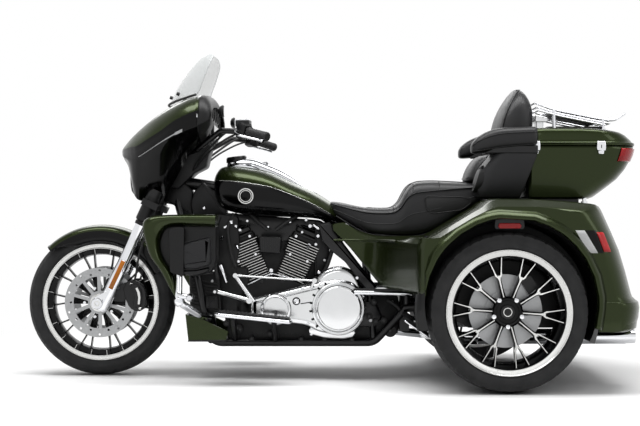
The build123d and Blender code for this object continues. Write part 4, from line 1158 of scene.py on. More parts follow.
@dataclass
class Controls:
    """Ribbed grips, switch housings, reservoirs, levers and mirrors at the bar's ends."""

    start: Point = (335.0, 350.0, 1036.0)
    end: Point = (250.0, 440.0, 1010.0)

    def build(self) -> None:
        """Makes the controls."""
        a, b = Vector(self.start), Vector(self.end)
        along = (b - a).normalized()
        # distance along the grip, radius
        steps = [(8, 13), (10, 22), (15, 22.5), (18, 19)]
        steps += [(22 + k * 3.1, 18.4 if k % 2 else 17.2) for k in range(30)]
        steps += [(116, 18.8), (122, 19.4), (130, 18.6), (134, 15), (135, 8)]
        long = (b - a).length
        steps = [(d * long / 136, r) for d, r in steps]
        grip = Shape().tube([tuple(a + along * d) for d, _ in steps], [r for _, r in steps], 28)
        make(grip.both(), "hand_grips", RUBBER, "hand_controls", body="steering", sharp=32)

        middle = a - along * 26
        across = Vector((0, 0, 1)).cross(along).normalized()
        up = along.cross(across)
        rows = []
        for d, w, h in ((-27, 19, 23), (-22, 25, 30), (0, 28, 34), (18, 26, 31), (26, 20, 25)):
            rows.append([middle + along * d + across * w * u + up * h * v for u, v in (
                (-1, -0.6), (-0.8, -1), (0.8, -1), (1, -0.6), (1, 0.6), (0.8, 1), (-0.8, 1), (-1, 0.6))])
        box = Shape().loft(rows)
        for d, v in ((-12, 0.3), (0, -0.3), (10, 0.35), (-4, 0.8)):
            spot = middle + along * d + up * v * 26 + across * 26
            box.bolt(tuple(spot), 5.5, 7, 10, along=across)
        make(box.both(), "switch_boxes", PLASTIC, body="steering", slot="rubber", bevel=1.8)

        tank = Shape().slab([(322, 300), (384, 296), (388, 338), (330, 344)], 1058, 1086, plane="xy")
        tank.slab([(340, 306), (372, 304), (374, 330), (344, 334)], 1040, 1060, plane="xy")
        make(tank.both(), "reservoirs", SATIN, body="steering", slot="black_plastic", bevel=4.0)
        lid = Shape().slab([(326, 303), (381, 299), (385, 335), (333, 340)], 1085.5, 1089.5, plane="xy")
        for x, y in ((334, 309), (377, 306), (338, 333)):
            lid.bolt((x, y, 1089), 3.6, 2.4, 10, along=Vector((0, 0, 1)))
        make(lid.both(), "reservoir_lids", CHROME, body="steering", bevel=0.8)

        line = round_path([(372, 322, 1046), (392, 350, 1034), (368, 400, 1018), (290, 440, 998),
                           (268, 456, 992)], 26)
        radii = [7 - 2.2 * k / (len(line) - 1) for k in range(len(line))]
        radii[-1] = radii[-2] = 6.4
        lever = Shape().tube([tuple(p) for p in line], radii, 14)
        make(lever.both(), "hand_levers", CHROME, body="steering", sharp=50)

        cables = Shape()
        cables.tube([(388, 318, 1050), (430, 290, 1040), (480, 230, 1000), (560, 120, 930),
                     (600, 60, 860)], 5.0, 10, bend=50)
        cables.tube([(360, 330, 1036), (420, 292, 1018), (500, 200, 968), (590, 70, 880)], 4.0, 10,
                    bend=50)
        make(cables.both(), "control_cables", RUBBER, body="steering", sharp=60)

        rings = []
        for d, w, h in ((0, 36, 22), (6, 40, 26), (16, 34, 21), (22, 16, 10)):
            rings.append([(432 + d, 352 + w * math.cos(t), 1120 + h * math.sin(t)) for t in angles(32)])
        shell = Shape().grid(rings, around=True).cap(rings[-1])
        make(shell.both(), "mirror_shells", PLASTIC, "mirrors", body="steering", sharp=50)
        glass = Shape().cap([(431.5, 352 + 37 * math.cos(t), 1120 + 23 * math.sin(t))
                             for t in angles(32)])
        make(glass.both(), "mirror_glass", CHROME, body="steering", sharp=50, outward=False)


@dataclass
class Tank:
    """Long fuel tank: olive top, black flanks, a plain round badge and a chrome console along its back."""

    # x, bottom z, bottom y, bulge z, bulge y, split z, split y, shoulder z, shoulder y, top z
    stations: tuple[tuple[float, ...], ...] = (
        (497, 790, 50, 812, 66, 836, 66, 850, 48, 856),
        (486, 758, 66, 800, 100, 842, 96, 868, 70, 882),
        (463, 724, 84, 790, 126, 842, 121, 884, 86, 903),
        (402, 703, 100, 776, 150, 838, 146, 890, 100, 912),
        (321, 692, 110, 762, 164, 827, 158, 880, 108, 903),
        (250, 688, 112, 752, 166, 813, 160, 862, 108, 884),
        (170, 685, 106, 740, 158, 785, 152, 828, 100, 846),
        (66, 680, 84, 712, 124, 740, 120, 780, 80, 796),
        (-7, 664, 60, 682, 86, 698, 84, 734, 56, 751),
        (-38, 656, 44, 666, 60, 678, 58, 706, 38, 722),
    )

    def build(self) -> None:
        """Makes the tank's pieces."""
        flanks, top, ends = [], [], []
        for x, zb, yb, zs, ys, zg, yg, zh, yh, zt in table_rows(self.stations, 4):
            side = [(0, zb), (yb * 0.6, zb), (yb, zb + 3), (yb + (ys - yb) * 0.72, zb + (zs - zb) * 0.4),
                    (ys, zs), (yg + (ys - yg) * 0.6, zs + (zg - zs) * 0.62), (yg, zg)]
            upper = [(yg, zg), (yg - (yg - yh) * 0.2, zg + (zh - zg) * 0.42),
                     (yh + (yg - yh) * 0.32, zg + (zh - zg) * 0.8), (yh, zh),
                     (yh * 0.6, zh + (zt - zh) * 0.62), (yh * 0.25, zt - (zt - zh) * 0.06), (0, zt)]
            flanks.append([(x, y, z) for y, z in side])
            top.append(whole(x, upper))
        for k in (0, -1):
            ends.append([*flanks[k][1:], *top[k][1:-1],
                         *[(x, -y, z) for x, y, z in reversed(flanks[k][1:])]])
        shell = Shape().grid(top)
        shell.joined(Shape().grid(flanks, mark=1).both())
        shell.cap(ends[0], 1).cap(ends[1], 1)
        make(shell, "tank_shell", (GREEN, BLACK), "fuel_tank", sharp=60, smooth=1)
        line = [(r[0], r[6] + 0.5, r[5]) for r in table_rows(self.stations, 4)[4:-4]]
        make(Shape().tube(line, 0.9, 6).both(), "tank_pinstripe", MACHINED, sharp=60)
        badge = Shape()
        cx, cz = 355.0, 775.0
        for r0, r1, high in ((33, 29, 160.4), (25, 22.5, 160.2)):
            rows = [[(cx + q * math.cos(a), d, cz + q * math.sin(a)) for q, d in (
                (r0, high), (r0, high + 5.2), (r1, high + 5.2), (r1, high))]
                    for a in angles(48)]
            badge.grid(rows, around=True, loop=True)
        make(badge.both(), "tank_badge_rings", MACHINED, sharp=40)
        self.console()

    def console(self) -> None:
        """Chrome console with a dial pod and a flush filler cap."""
        # x, base z, half width, top z
        stations = ((446, 884, 30, 900), (436, 884, 44, 932), (392, 898, 52, 941), (330, 894, 54, 939),
                    (262, 874, 50, 914), (196, 846, 42, 884), (120, 812, 30, 836), (52, 778, 16, 792))
        rows = []
        for x, zb, half, zt in table_rows(stations, 4):
            rows.append([(x, half * math.cos(a), zb + (zt - zb) * math.sin(a) ** 0.7 if math.sin(a) > 0
                          else zb) for a in (math.pi * k / 18 for k in range(19))])
        shell = Shape().grid(rows).cap(rows[0]).cap(rows[-1])
        make(shell, "console_cover", CHROME, "tank_console", sharp=50)
        pod, face, cap = Shape(), Shape(), Shape()
        for shape, spot, prof in ((pod, (404, 936), [(44, -10), (44, 8), (40, 13), (36, 12), (35, 6)]),
                                  (face, (404, 936), [(36, 7), (0.5, 7)]),
                                  (cap, (292, 914), [(31, -10), (31, 5), (27, 9), (12, 10.5),
                                                     (0.5, 10.5)])):
            rows = [[(spot[0] + q * math.cos(a), q * math.sin(a), spot[1] + d - 0.12 * q * math.cos(a))
                     for q, d in prof] for a in angles(40)]
            shape.grid(rows, loop=True)
        make(pod, "dial_pod", SATIN, slot="black_plastic", sharp=40)
        make(face, "dial_pod_face", DIAL, sharp=40)
        make(cap, "filler_cap", CHROME, sharp=40)


# Rear body


def follow(points: Sequence[Flat]) -> Callable[[float], float]:
    """Function through (input, value) points with rising inputs, rounded between them.

    Args:
        points: Points of the curve.

    Returns:
        The function, level beyond the ends.
    """
    line = smooth_line(points, 90)

    def value(x: float) -> float:
        """The curve's value at x."""
        if x <= line[0][0]:
            return line[0][1]
        for a, b in zip(line, line[1:]):
            if x <= b[0]:
                return a[1] + (b[1] - a[1]) * (x - a[0]) / max(b[0] - a[0], 1e-6)
        return line[-1][1]

    return value


@dataclass
class RearBody:
    """Wide luggage body: olive skins with rounded corners, flared arches, lamps and a drop-down door."""

    half: float = 668.0
    # Height of the skin over the solid deck
    proud: float = 2.5
    arch: Flat = (-700.0, 350.0)
    arch_inner: float = 334.0
    door_half: float = 385.0
    # Rear outline at the side of the door, from the deck's edge down to the lower ledge
    rear: tuple[Flat, ...] = ((-1084, 716), (-1092, 700), (-1126, 626), (-1156, 556), (-1182, 470),
                              (-1204, 386), (-1209, 372), (-1232, 350), (-1236, 326), (-1226, 250),
                              (-1204, 240))
    # Front edge of the swept panel in plan: y and x
    sweep: tuple[Flat, ...] = ((150, -8), (176, -18), (200, -82), (240, -150), (310, -215), (400, -262),
                               (500, -300), (580, -326), (640, -346), (668, -366))
    # Height over the belt of the panel's top under the seat: x and z
    lift: tuple[Flat, ...] = ((-384, 9), (-199, 14), (-130, 30), (-70, 66), (-54, 70), (-8, 60))
    # Places across the machine at which the skin is cut
    cuts: tuple[float, ...] = (150, 176, 184, 192, 202, 208, 214, 224, 236, 248, 262, 280, 300, 320, 340,
                               362, 385, 391, 412, 440, 470, 500, 520, 540, 554, 566, 584, 590, 595, 600,
                               604, 610, 620, 632, 644, 654, 661, 666, 668)
    # Lower edge of the swept panel: y and z
    hem: tuple[Flat, ...] = ((150, 640), (176, 628), (200, 562), (240, 480), (310, 402), (400, 392),
                             (668, 385))

    def crown(self, y: float) -> float:
        """Drop of the deck toward its rounded side edge."""
        past = max(abs(y) - 590, 0.0)
        bend = 0.42 * min(past, 14.0) ** 2 / 28
        dip = 3 * min(max(abs(y) - 450, 0.0) / 140, 1.0) ** 2
        return bend + 0.42 * max(past - 14.0, 0.0) + dip - self.proud

    def corner(self, y: float) -> float:
        """Shift of the rear outline forward toward the rounded corner, and back at the middle."""
        if abs(y) <= 440:
            return -16 * (1 - (y / 440) ** 2)
        s = min((abs(y) - 440) / (self.half - 440), 1.0)
        return 122 * (1 - math.sqrt(max(0.0, 1 - s * s)))

    def rear_x(self, z: float) -> float:
        """Rear outline's x at a height."""
        for (xa, za), (xb, zb) in zip(self.rear, self.rear[1:]):
            if zb <= z <= za:
                return xb + (xa - xb) * (z - zb) / (za - zb)
        return self.rear[0][0] if z > self.rear[0][1] else self.rear[-1][0]

    def flank(self, x: float, z: float, out: float = 0.0) -> Point:
        """Point on the side skin or its rounded rear corner, moved outwards."""
        share = (x - self.rear_x(z)) / 122
        if share >= 1:
            return (x, self.half + out, z)
        s = math.sqrt(max(0.0, 1 - (1 - max(share, 0.0)) ** 2))
        return (x - out * math.sqrt(max(0.0, 1 - s * s)) * 0.8, 440 + 228 * s + out * s, z)

    def section(self, y: float) -> list[Flat]:
        """Side outline of the skin in a plane across the machine."""
        front, low = follow(self.sweep)(y), follow(self.hem)(y)
        drop, shift = self.crown(y), self.corner(y)
        fade = min(max((262 - y) / 57, 0.0), 1.0)
        fade = fade * fade * (3 - 2 * fade)
        lift = follow(self.lift)
        start = min(front - 2, -14)
        crest = 588 + 0.02 * (front + 352) + lift(start) * fade
        low = min(low, crest - 12)
        face = [(front, low), (front + 1, low + (crest - low) * 0.1),
                (front + 2, low + (crest - low) * 0.4), (front + 2, low + (crest - low) * 0.8),
                (front, crest - 5), (start, crest - 1)]
        steps = [start + (-392 - start) * t for t in (0.1, 0.25, 0.45, 0.7)]
        roof = [(x, 592 + lift(x) * fade + 13 * min(max((-x - 296) / 38, 0.0), 1.0)) for x in steps]
        roof.append((-392, 604 + 4 * fade))
        # x, z and the share of the crown's drop
        climb = ((-424, 623, 0.5), (-484, 660, 0.5), (-552, 700, 0.5), (-596, 725, 0.6), (-612, 739, 0.8),
                 (-630, 752, 1.0), (-650, 758, 1.0), (-800, 757, 1.0), (-930, 749, 1.0), (-1040, 739, 1.0),
                 (-1062, 735, 1.0), (-1076, 727, 1.0))
        deck = [(x, z - drop * t) for x, z, t in climb]
        deck = [(x + shift * max(0.0, (-x - 800) / 284), z) for x, z in deck]
        back = [(x + shift, z - (drop if k == 0 else drop * max(0.0, (z - 640) / 76)))
                for k, (x, z) in enumerate(self.rear)]
        return face + roof + deck + back

    def build(self) -> None:
        """Makes the rear body's pieces."""
        self.skins()
        self.door()
        self.valance()
        self.arches()
        self.lamps()

    def skins(self) -> None:
        """Olive outer skin with the side sheets and flares round the wheels."""
        front_count = 12
        first, last = self.rear[1][1] + 1, self.rear[5][1] - 1
        side = Shape()
        rows = [[(x, y, z) for x, z in self.section(y)] for y in self.cuts]
        for a, b in zip(rows, rows[1:]):
            strip = Shape().grid([a, b])
            keep = [i for i in range(len(a) - 1) if not (b[i][1] <= self.door_half
                                                         and last <= (a[i][2] + a[i + 1][2]) / 2 <= first
                                                         and i > front_count)]
            strip.faces = [strip.faces[i] for i in keep]
            strip.marks = [0] * len(keep)
            side.joined(strip)
        places = (-150.0, -75.0, 0.0, 75.0, 150.0)
        middle = [[(x, y, z) for x, z in self.section(y)[front_count:]] for y in places]
        centre = Shape()
        for a, b in zip(middle, middle[1:]):
            strip = Shape().grid([a, b])
            keep = [i for i in range(len(a) - 1) if not last <= (a[i][2] + a[i + 1][2]) / 2 <= first]
            strip.faces = [strip.faces[i] for i in keep]
            strip.marks = [0] * len(keep)
            centre.joined(strip)
        outline = self.section(self.half)
        ax, az = self.arch
        rows = []
        for x, z in outline:
            far = math.hypot(x - ax, z - az)
            c, s = (x - ax) / far, (z - az) / far
            line = [(self.arch_inner, 640), (self.arch_inner, 676), (self.arch_inner + 0.5, 686),
                    (self.arch_inner + 3, 691), (self.arch_inner + 8, 693), (self.arch_inner + 15, 691.5),
                    (self.arch_inner + 22, 686), (self.arch_inner + 28, 678), (self.arch_inner + 32, 672),
                    (self.arch_inner + 36, 668)]
            last_r = max(far, line[-1][0] + 2)
            row = [(ax + c * min(r, far - 0.5), y, az + s * min(r, far - 0.5)) for r, y in line]
            for t in (0.33, 0.66, 1.0):
                r = line[-1][0] + (last_r - line[-1][0]) * t
                row.append((ax + c * min(r, far), self.half, az + s * min(r, far)))
            rows.append(row)
        side.joined(Shape().grid(rows))
        side.both()
        side.joined(centre)
        edge = follow(self.sweep)
        spots = (178, 184, 192, 202, 214, 230, 250, 275, 310, 360, 420)
        ledge = Shape().tube([(edge(y) + 2, y, 589) for y in spots], 5, 12)
        make(ledge.both(), "panel_ledges", GREEN, sharp=60)
        make(side, "rear_body_skin", GREEN, "rear_arches", "arch_lips", "side_panels", sharp=22, thick=2.5)

    def door(self) -> None:
        """Drop-down luggage door with a recessed pull."""
        levels = [-385, -300, -200, -100, 0, 100, 200, 300, 385]
        heights = [699, 690, 660, 626, 590, 556, 510, 470, 430, 396, 387]
        rows = [[(self.rear_x(z) + self.corner(y), float(y), z) for z in heights] for y in levels]
        make(Shape().grid(rows), "luggage_door_skin", GREEN, "trunk_door", body="door", sharp=30, thick=20,
             bevel=2.0)
        pull = Shape()
        ring = [(-70, 664), (70, 664), (78, 650), (66, 638), (-66, 638), (-78, 650)]
        pull.slab(ring, self.rear_x(650) - 20, self.rear_x(650) - 2, plane="yz")
        make(pull, "door_pull", CHROME, body="door", bevel=4)

    def valance(self) -> None:
        """Lower band that stands a little proud of the skin, from the wheel arch round the back."""
        rows = []
        for z, out in ((357, 0.3), (355.5, 2.4), (351, 3.4), (330, 3.6), (290, 3.6), (246, 3.2),
                       (243, 0.6)):
            line = [self.flank(x, z, out) for x in (-1040, -1062, -1084)]
            edge = self.rear_x(z)
            line += [self.flank(edge + 122 * t, z, out) for t in (0.86, 0.7, 0.52, 0.36, 0.22, 0.1, 0.03)]
            line += [(edge + self.corner(y) - out, y, z) for y in (440, 330, 220, 110, 0)]
            rows.append(line)
        make(Shape().grid(rows).both(), "rear_valance", GREEN, sharp=50)

    def arches(self) -> None:
        """Black wheel-well liners, their reflectors and the inner walls under the swept panels."""
        x, z = REAR_AXLE
        wall = ((120, 446), (200, 446), (332, 446), (348, 450), (352, 460), (358, 560), (356, 640),
                (330, 662))
        rows = []
        for k in range(61):
            a = math.radians(-12 + 212 * k / 60)
            rows.append([(x + q * math.cos(a), y, z + q * math.sin(a)) for q, y in wall])
        for row in rows:
            end = row[-1]
            angle = math.atan2(end[2] - self.arch[1], end[0] - self.arch[0])
            row[-1] = (self.arch[0] + 335 * math.cos(angle), 672.0, self.arch[1] + 335 * math.sin(angle))
        make(Shape().grid(rows).both(), "wheel_well_liners", PLASTIC, sharp=40)
        plate = Shape().slab([(-748, 640), (-642, 640), (-636, 650), (-640, 690), (-750, 690),
                              (-754, 650)], 650, 660)
        make(plate.both(), "reflector_brackets", SATIN, slot="black_plastic", bevel=2)
        lens = Shape().slab([(-741, 652), (-735, 643), (-655, 643), (-649, 652), (-655, 664), (-735, 664)],
                            659, 668)
        make(lens.both(), "side_reflectors", RED, bevel=3)

    def lamps(self) -> None:
        """Slanted lamp clusters wrapped round the rear corners."""
        bars = ((CLEAR, "clear_lens", -947, -984, 636, -998, -1036, 548),
                (BLACK, "black_paint", -985, -1028, 636, -1037, -1058, 548),
                (RED, "red_lens", -1029, -1060, 629, -1059, -1090, 552))
        for number, (finish, slot, xa, xb, top, xc, xd, low) in enumerate(bars):
            rows = []
            for i in range(13):
                t = i / 12
                zz = top + (low - top) * t
                a, b = xa + (xc - xa) * t, xb + (xd - xb) * t
                out = 5.5 if number != 1 else 2.5
                out = out * (1 if 0 < i < 12 else 0.4)
                line = [self.flank(a, zz, -4), self.flank(a - 1, zz, out * 0.8)]
                line += [self.flank(a + (b - a) * k / 5, zz, out) for k in range(1, 5)]
                line += [self.flank(b + 1, zz, out * 0.8), self.flank(b, zz, -4)]
                rows.append(line)
            lens = Shape().loft(rows)
            replaced = ["rear_lamps"] if number == 2 else []
            make(lens.both(), f"tail_lamp_{number + 1}", finish, *replaced, slot=slot, sharp=30)


# Luggage case


@dataclass
class LuggageCase:
    """Rounded top case: olive base and lid with a bright parting line, latches and wrap-round lamps."""

    # z, x of the front, x of the back at the side, half width, x of the back at the middle
    base: tuple[tuple[float, ...], ...] = (
        (760, -850, -1052, 232, -1066), (763, -838, -1082, 254, -1102), (770, -830, -1098, 262, -1122),
        (790, -828, -1124, 266, -1150), (818, -826, -1160, 270, -1188), (846, -826, -1194, 273, -1224),
        (886, -826, -1224, 276, -1258), (927, -826, -1246, 279, -1282), (955, -826, -1256, 280, -1292),
        (968, -826, -1260, 281, -1296), (986, -826, -1258, 281, -1295),
    )
    lid: tuple[tuple[float, ...], ...] = (
        (990, -826, -1262, 285, -1300), (997, -826, -1261, 285, -1299), (1001, -827, -1252, 281, -1290),
        (1010, -828, -1245, 280, -1283), (1031, -830, -1222, 277, -1260), (1042, -834, -1203, 275, -1240),
        (1049, -840, -1176, 271, -1212), (1055, -846, -1142, 264, -1176), (1059, -852, -1112, 252, -1146),
        (1062, -866, -1070, 206, -1096), (1065, -890, -1010, 130, -1030),
    )

    def ring(self, z: float, front: float, back: float, half: float, middle: float,
             out: float = 0.0) -> list[Point]:
        """Plan outline at one height, from the front corner round the back to the other front corner."""
        left = [(front, half * 0.45), (front, half * 0.9), (front - 4, half * 0.97), (front - 16, half)]
        left += [(front + (back - front) * t, half) for t in (0.2, 0.4, 0.6)]
        for k in range(1, 10):
            a = math.radians(90 * k / 9)
            knee = front + (back - front) * 0.7
            left.append((knee + (middle - knee) * math.sin(a) ** 0.95,
                         half * max(math.cos(a), 0.0) ** 0.42))
        spots = [(x, y, z) for x, y in left]
        ring = spots + [(x, -y, zz) for x, y, zz in reversed(spots[:-1])]
        if not out:
            return ring
        centre = Vector(((front + middle) / 2, 0, z))
        return [tuple(Vector(p) + (Vector(p) - centre).normalized() * out) for p in ring]

    def build(self) -> None:
        """Makes the case's pieces."""
        rows = [self.ring(*row) for row in self.base]
        shell = Shape().grid(rows, around=True).cap(rows[0])
        make(shell, "case_base_skin", GREEN, "case_base", sharp=32, thick=4)
        rows = [self.ring(*row) for row in self.lid]
        cover = Shape().grid(rows, around=True).cap(rows[-1])
        make(cover, "case_lid_skin", GREEN, "case_lid", body="lid", sharp=40, thick=4)
        split = self.ring(987.8, -826, -1260, 282.5, -1297)
        make(Shape().tube([*split, split[0]], 2.4, 8), "case_parting_trim", GREEN, sharp=60)
        # Painted shade: a thin black line along the case's side stands in for the shade in its crease.
        lower = self.ring(935, -826, -1242, 277.6, -1279)
        crease = [p for p in lower if p[1] > 0 and p[0] < -832]
        make(Shape().tube(crease, 0.9, 6).both(), "case_crease", BLACK, slot="green_paint", sharp=60)
        latches, keys = Shape(), Shape()
        for x in (-856, -1128):
            latches.slab([(x - 17, 962), (x + 17, 962), (x + 19, 974), (x + 17, 1001), (x - 17, 1001),
                          (x - 19, 974)], 281, 296)
            latches.slab([(x - 11, 948), (x + 11, 948), (x + 12, 963), (x - 12, 963)], 281, 291)
            keys.slab([(x - 1.6, 972), (x + 1.6, 972), (x + 1.6, 986), (x - 1.6, 986)], 295.4, 296.6)
        make(latches, "case_latches", CHROME, bevel=2.2)
        make(keys, "latch_slots", BLACK, slot="black_plastic")
        self.lamps()
        mount = Shape().slab([(-640, 744), (-1046, 738), (-1046, 766), (-640, 768)], -232, 232)
        make(mount, "case_mount", SATIN, slot="black_plastic", bevel=4)
        posts = Shape().tube([(-1070, 226, 730), (-1070, 226, 778)], 9, 20)
        posts.tube([(-1070, 226, 742), (-1070, 226, 752)], 14, 20)
        make(posts.both(), "case_posts", CHROME, sharp=40)
        hinge = Shape()
        for x in range(-1150, -900, 24):
            hinge.tube([(x, -290, 989), (x + 21, -290, 989)], 5.5, 14)
        make(hinge, "case_hinge", CHROME, sharp=40)

    def lamps(self) -> None:
        """Red lamps round the case's rear corners."""
        rows = []
        for z in (918, 921, 946, 971, 974):
            rim = z in (918, 974)
            back, half, middle = (follow([(row[0], row[k]) for row in self.base])(z) for k in (2, 3, 4))
            ring = self.ring(z, -826, back, half, middle, 1.5 if rim else 5.5)
            rows.append([p for p in ring if p[1] > 96 and p[0] < -1176])
        count = min(len(r) for r in rows)
        rows = [r[-count:] for r in rows]
        lens = Shape().grid(rows)
        make(lens.both(), "case_lamps", RED, sharp=35, thick=4)


# Seat, backrest and arms


def pillow(rows: Sequence[Sequence[Sequence[float]]], name: str, *nodes: str) -> None:
    """Makes a closed, softly rounded vinyl cushion from rings of points."""
    make(Shape().loft(rows), name, VINYL, *nodes, sharp=60, smooth=1, padded=FOAM)


@dataclass
class Saddle:
    """Two-step saddle in grained vinyl with piping, panel seams, and on each side a matt dark patch that is
    painted shade for the pocket under the pillion's ridge.
    """

    # x, top z, bottom z, half width, top crown
    stations: tuple[tuple[float, ...], ...] = (
        (-4, 748, 712, 40, 5), (-20, 749, 696, 62, 8), (-60, 743, 672, 92, 10), (-110, 734, 640, 124, 4),
        (-165, 727, 614, 152, -2), (-225, 725, 607, 176, -5), (-272, 730, 605, 188, -5),
        (-300, 752, 604, 191, -3), (-318, 784, 604, 191, 0), (-338, 814, 604, 190, 4),
        (-366, 832, 606, 190, 8), (-400, 837, 612, 190, 9), (-450, 838, 632, 190, 9),
        (-505, 836, 664, 189, 8), (-560, 833, 700, 188, 8), (-612, 830, 730, 186, 7),
        (-652, 828, 756, 182, 6),
    )

    def ring(self, x: float, top: float, low: float, half: float, crown: float) -> list[Point]:
        """Cross-section at one station."""
        tall = top - low
        side = [(half * 0.72, low), (half * 0.93, low + 3), (half, low + min(18, tall * 0.2)),
                (half, low + tall * 0.42), (half * 0.985, low + tall * 0.62),
                (half * 0.955, low + tall * 0.8), (half * 0.87, low + tall * 0.93),
                (half * 0.7, top - 1.5), (half * 0.42, top + crown * 0.35), (0, top + crown * 0.5)]
        return whole(x, side)

    def build(self) -> None:
        """Makes the saddle."""
        rows = [self.ring(*row) for row in table_rows(self.stations, 3)]
        pillow(rows, "saddle_cushion", "seat")
        piping, seams = Shape(), Shape()
        for place, thick, which in ((5, 2.4, piping), (3, 1.6, seams)):
            line = [tuple(Vector(r[place]) + Vector((0, 0.8, 0.6))) for r in rows[3:-1]]
            which.tube(line, thick, 8)
        make(piping.both(), "saddle_piping", VINYL, sharp=60)
        make(seams.both(), "saddle_welts", VINYL, sharp=60)
        across = Shape()
        for x_want in (-268, -352, -470):
            row = min(rows, key=lambda r: abs(r[0][0] - x_want))
            across.tube([tuple(Vector(p) + Vector((0, 0, 0.9))) for p in row[5:-5]], 1.7, 8)
        for y in (-78, 78):
            line = []
            for row in rows[12:-2]:
                near = min(row, key=lambda p: abs(p[1] - y) + (100 if p[2] < 700 else 0))
                line.append((near[0], y, near[2] + 0.9))
            across.tube(line, 1.5, 8)
        make(across, "saddle_cross_seams", VINYL, sharp=60)
        # Painted shade: a matt rubber patch on each side, darker than the vinyl round it, stands in for the
        # shade in the pocket under the ridge.
        pocket = rounded([(-402, 774), (-576, 770), (-604, 748), (-560, 716), (-436, 700), (-410, 716)],
                         20, 4)
        pocket_shade = tiers(pocket, ((180, 0), (190.5, 0), (191.5, 2)))
        make(pocket_shade.both(), "saddle_pockets", RUBBER, slot="vinyl", sharp=40)
        edge = [(x, 191, z) for x, z in [*pocket, pocket[0]]]
        make(Shape().tube(edge, 2.2, 8).both(), "pocket_piping", VINYL, sharp=60)
        pan = [tuple(Vector(r[1]) + Vector((0, 1, -3))) for r in rows[4:-2]]
        make(Shape().tube(pan, 4.0, 8).both(), "saddle_pan_edge", PLASTIC, slot="vinyl", sharp=60)


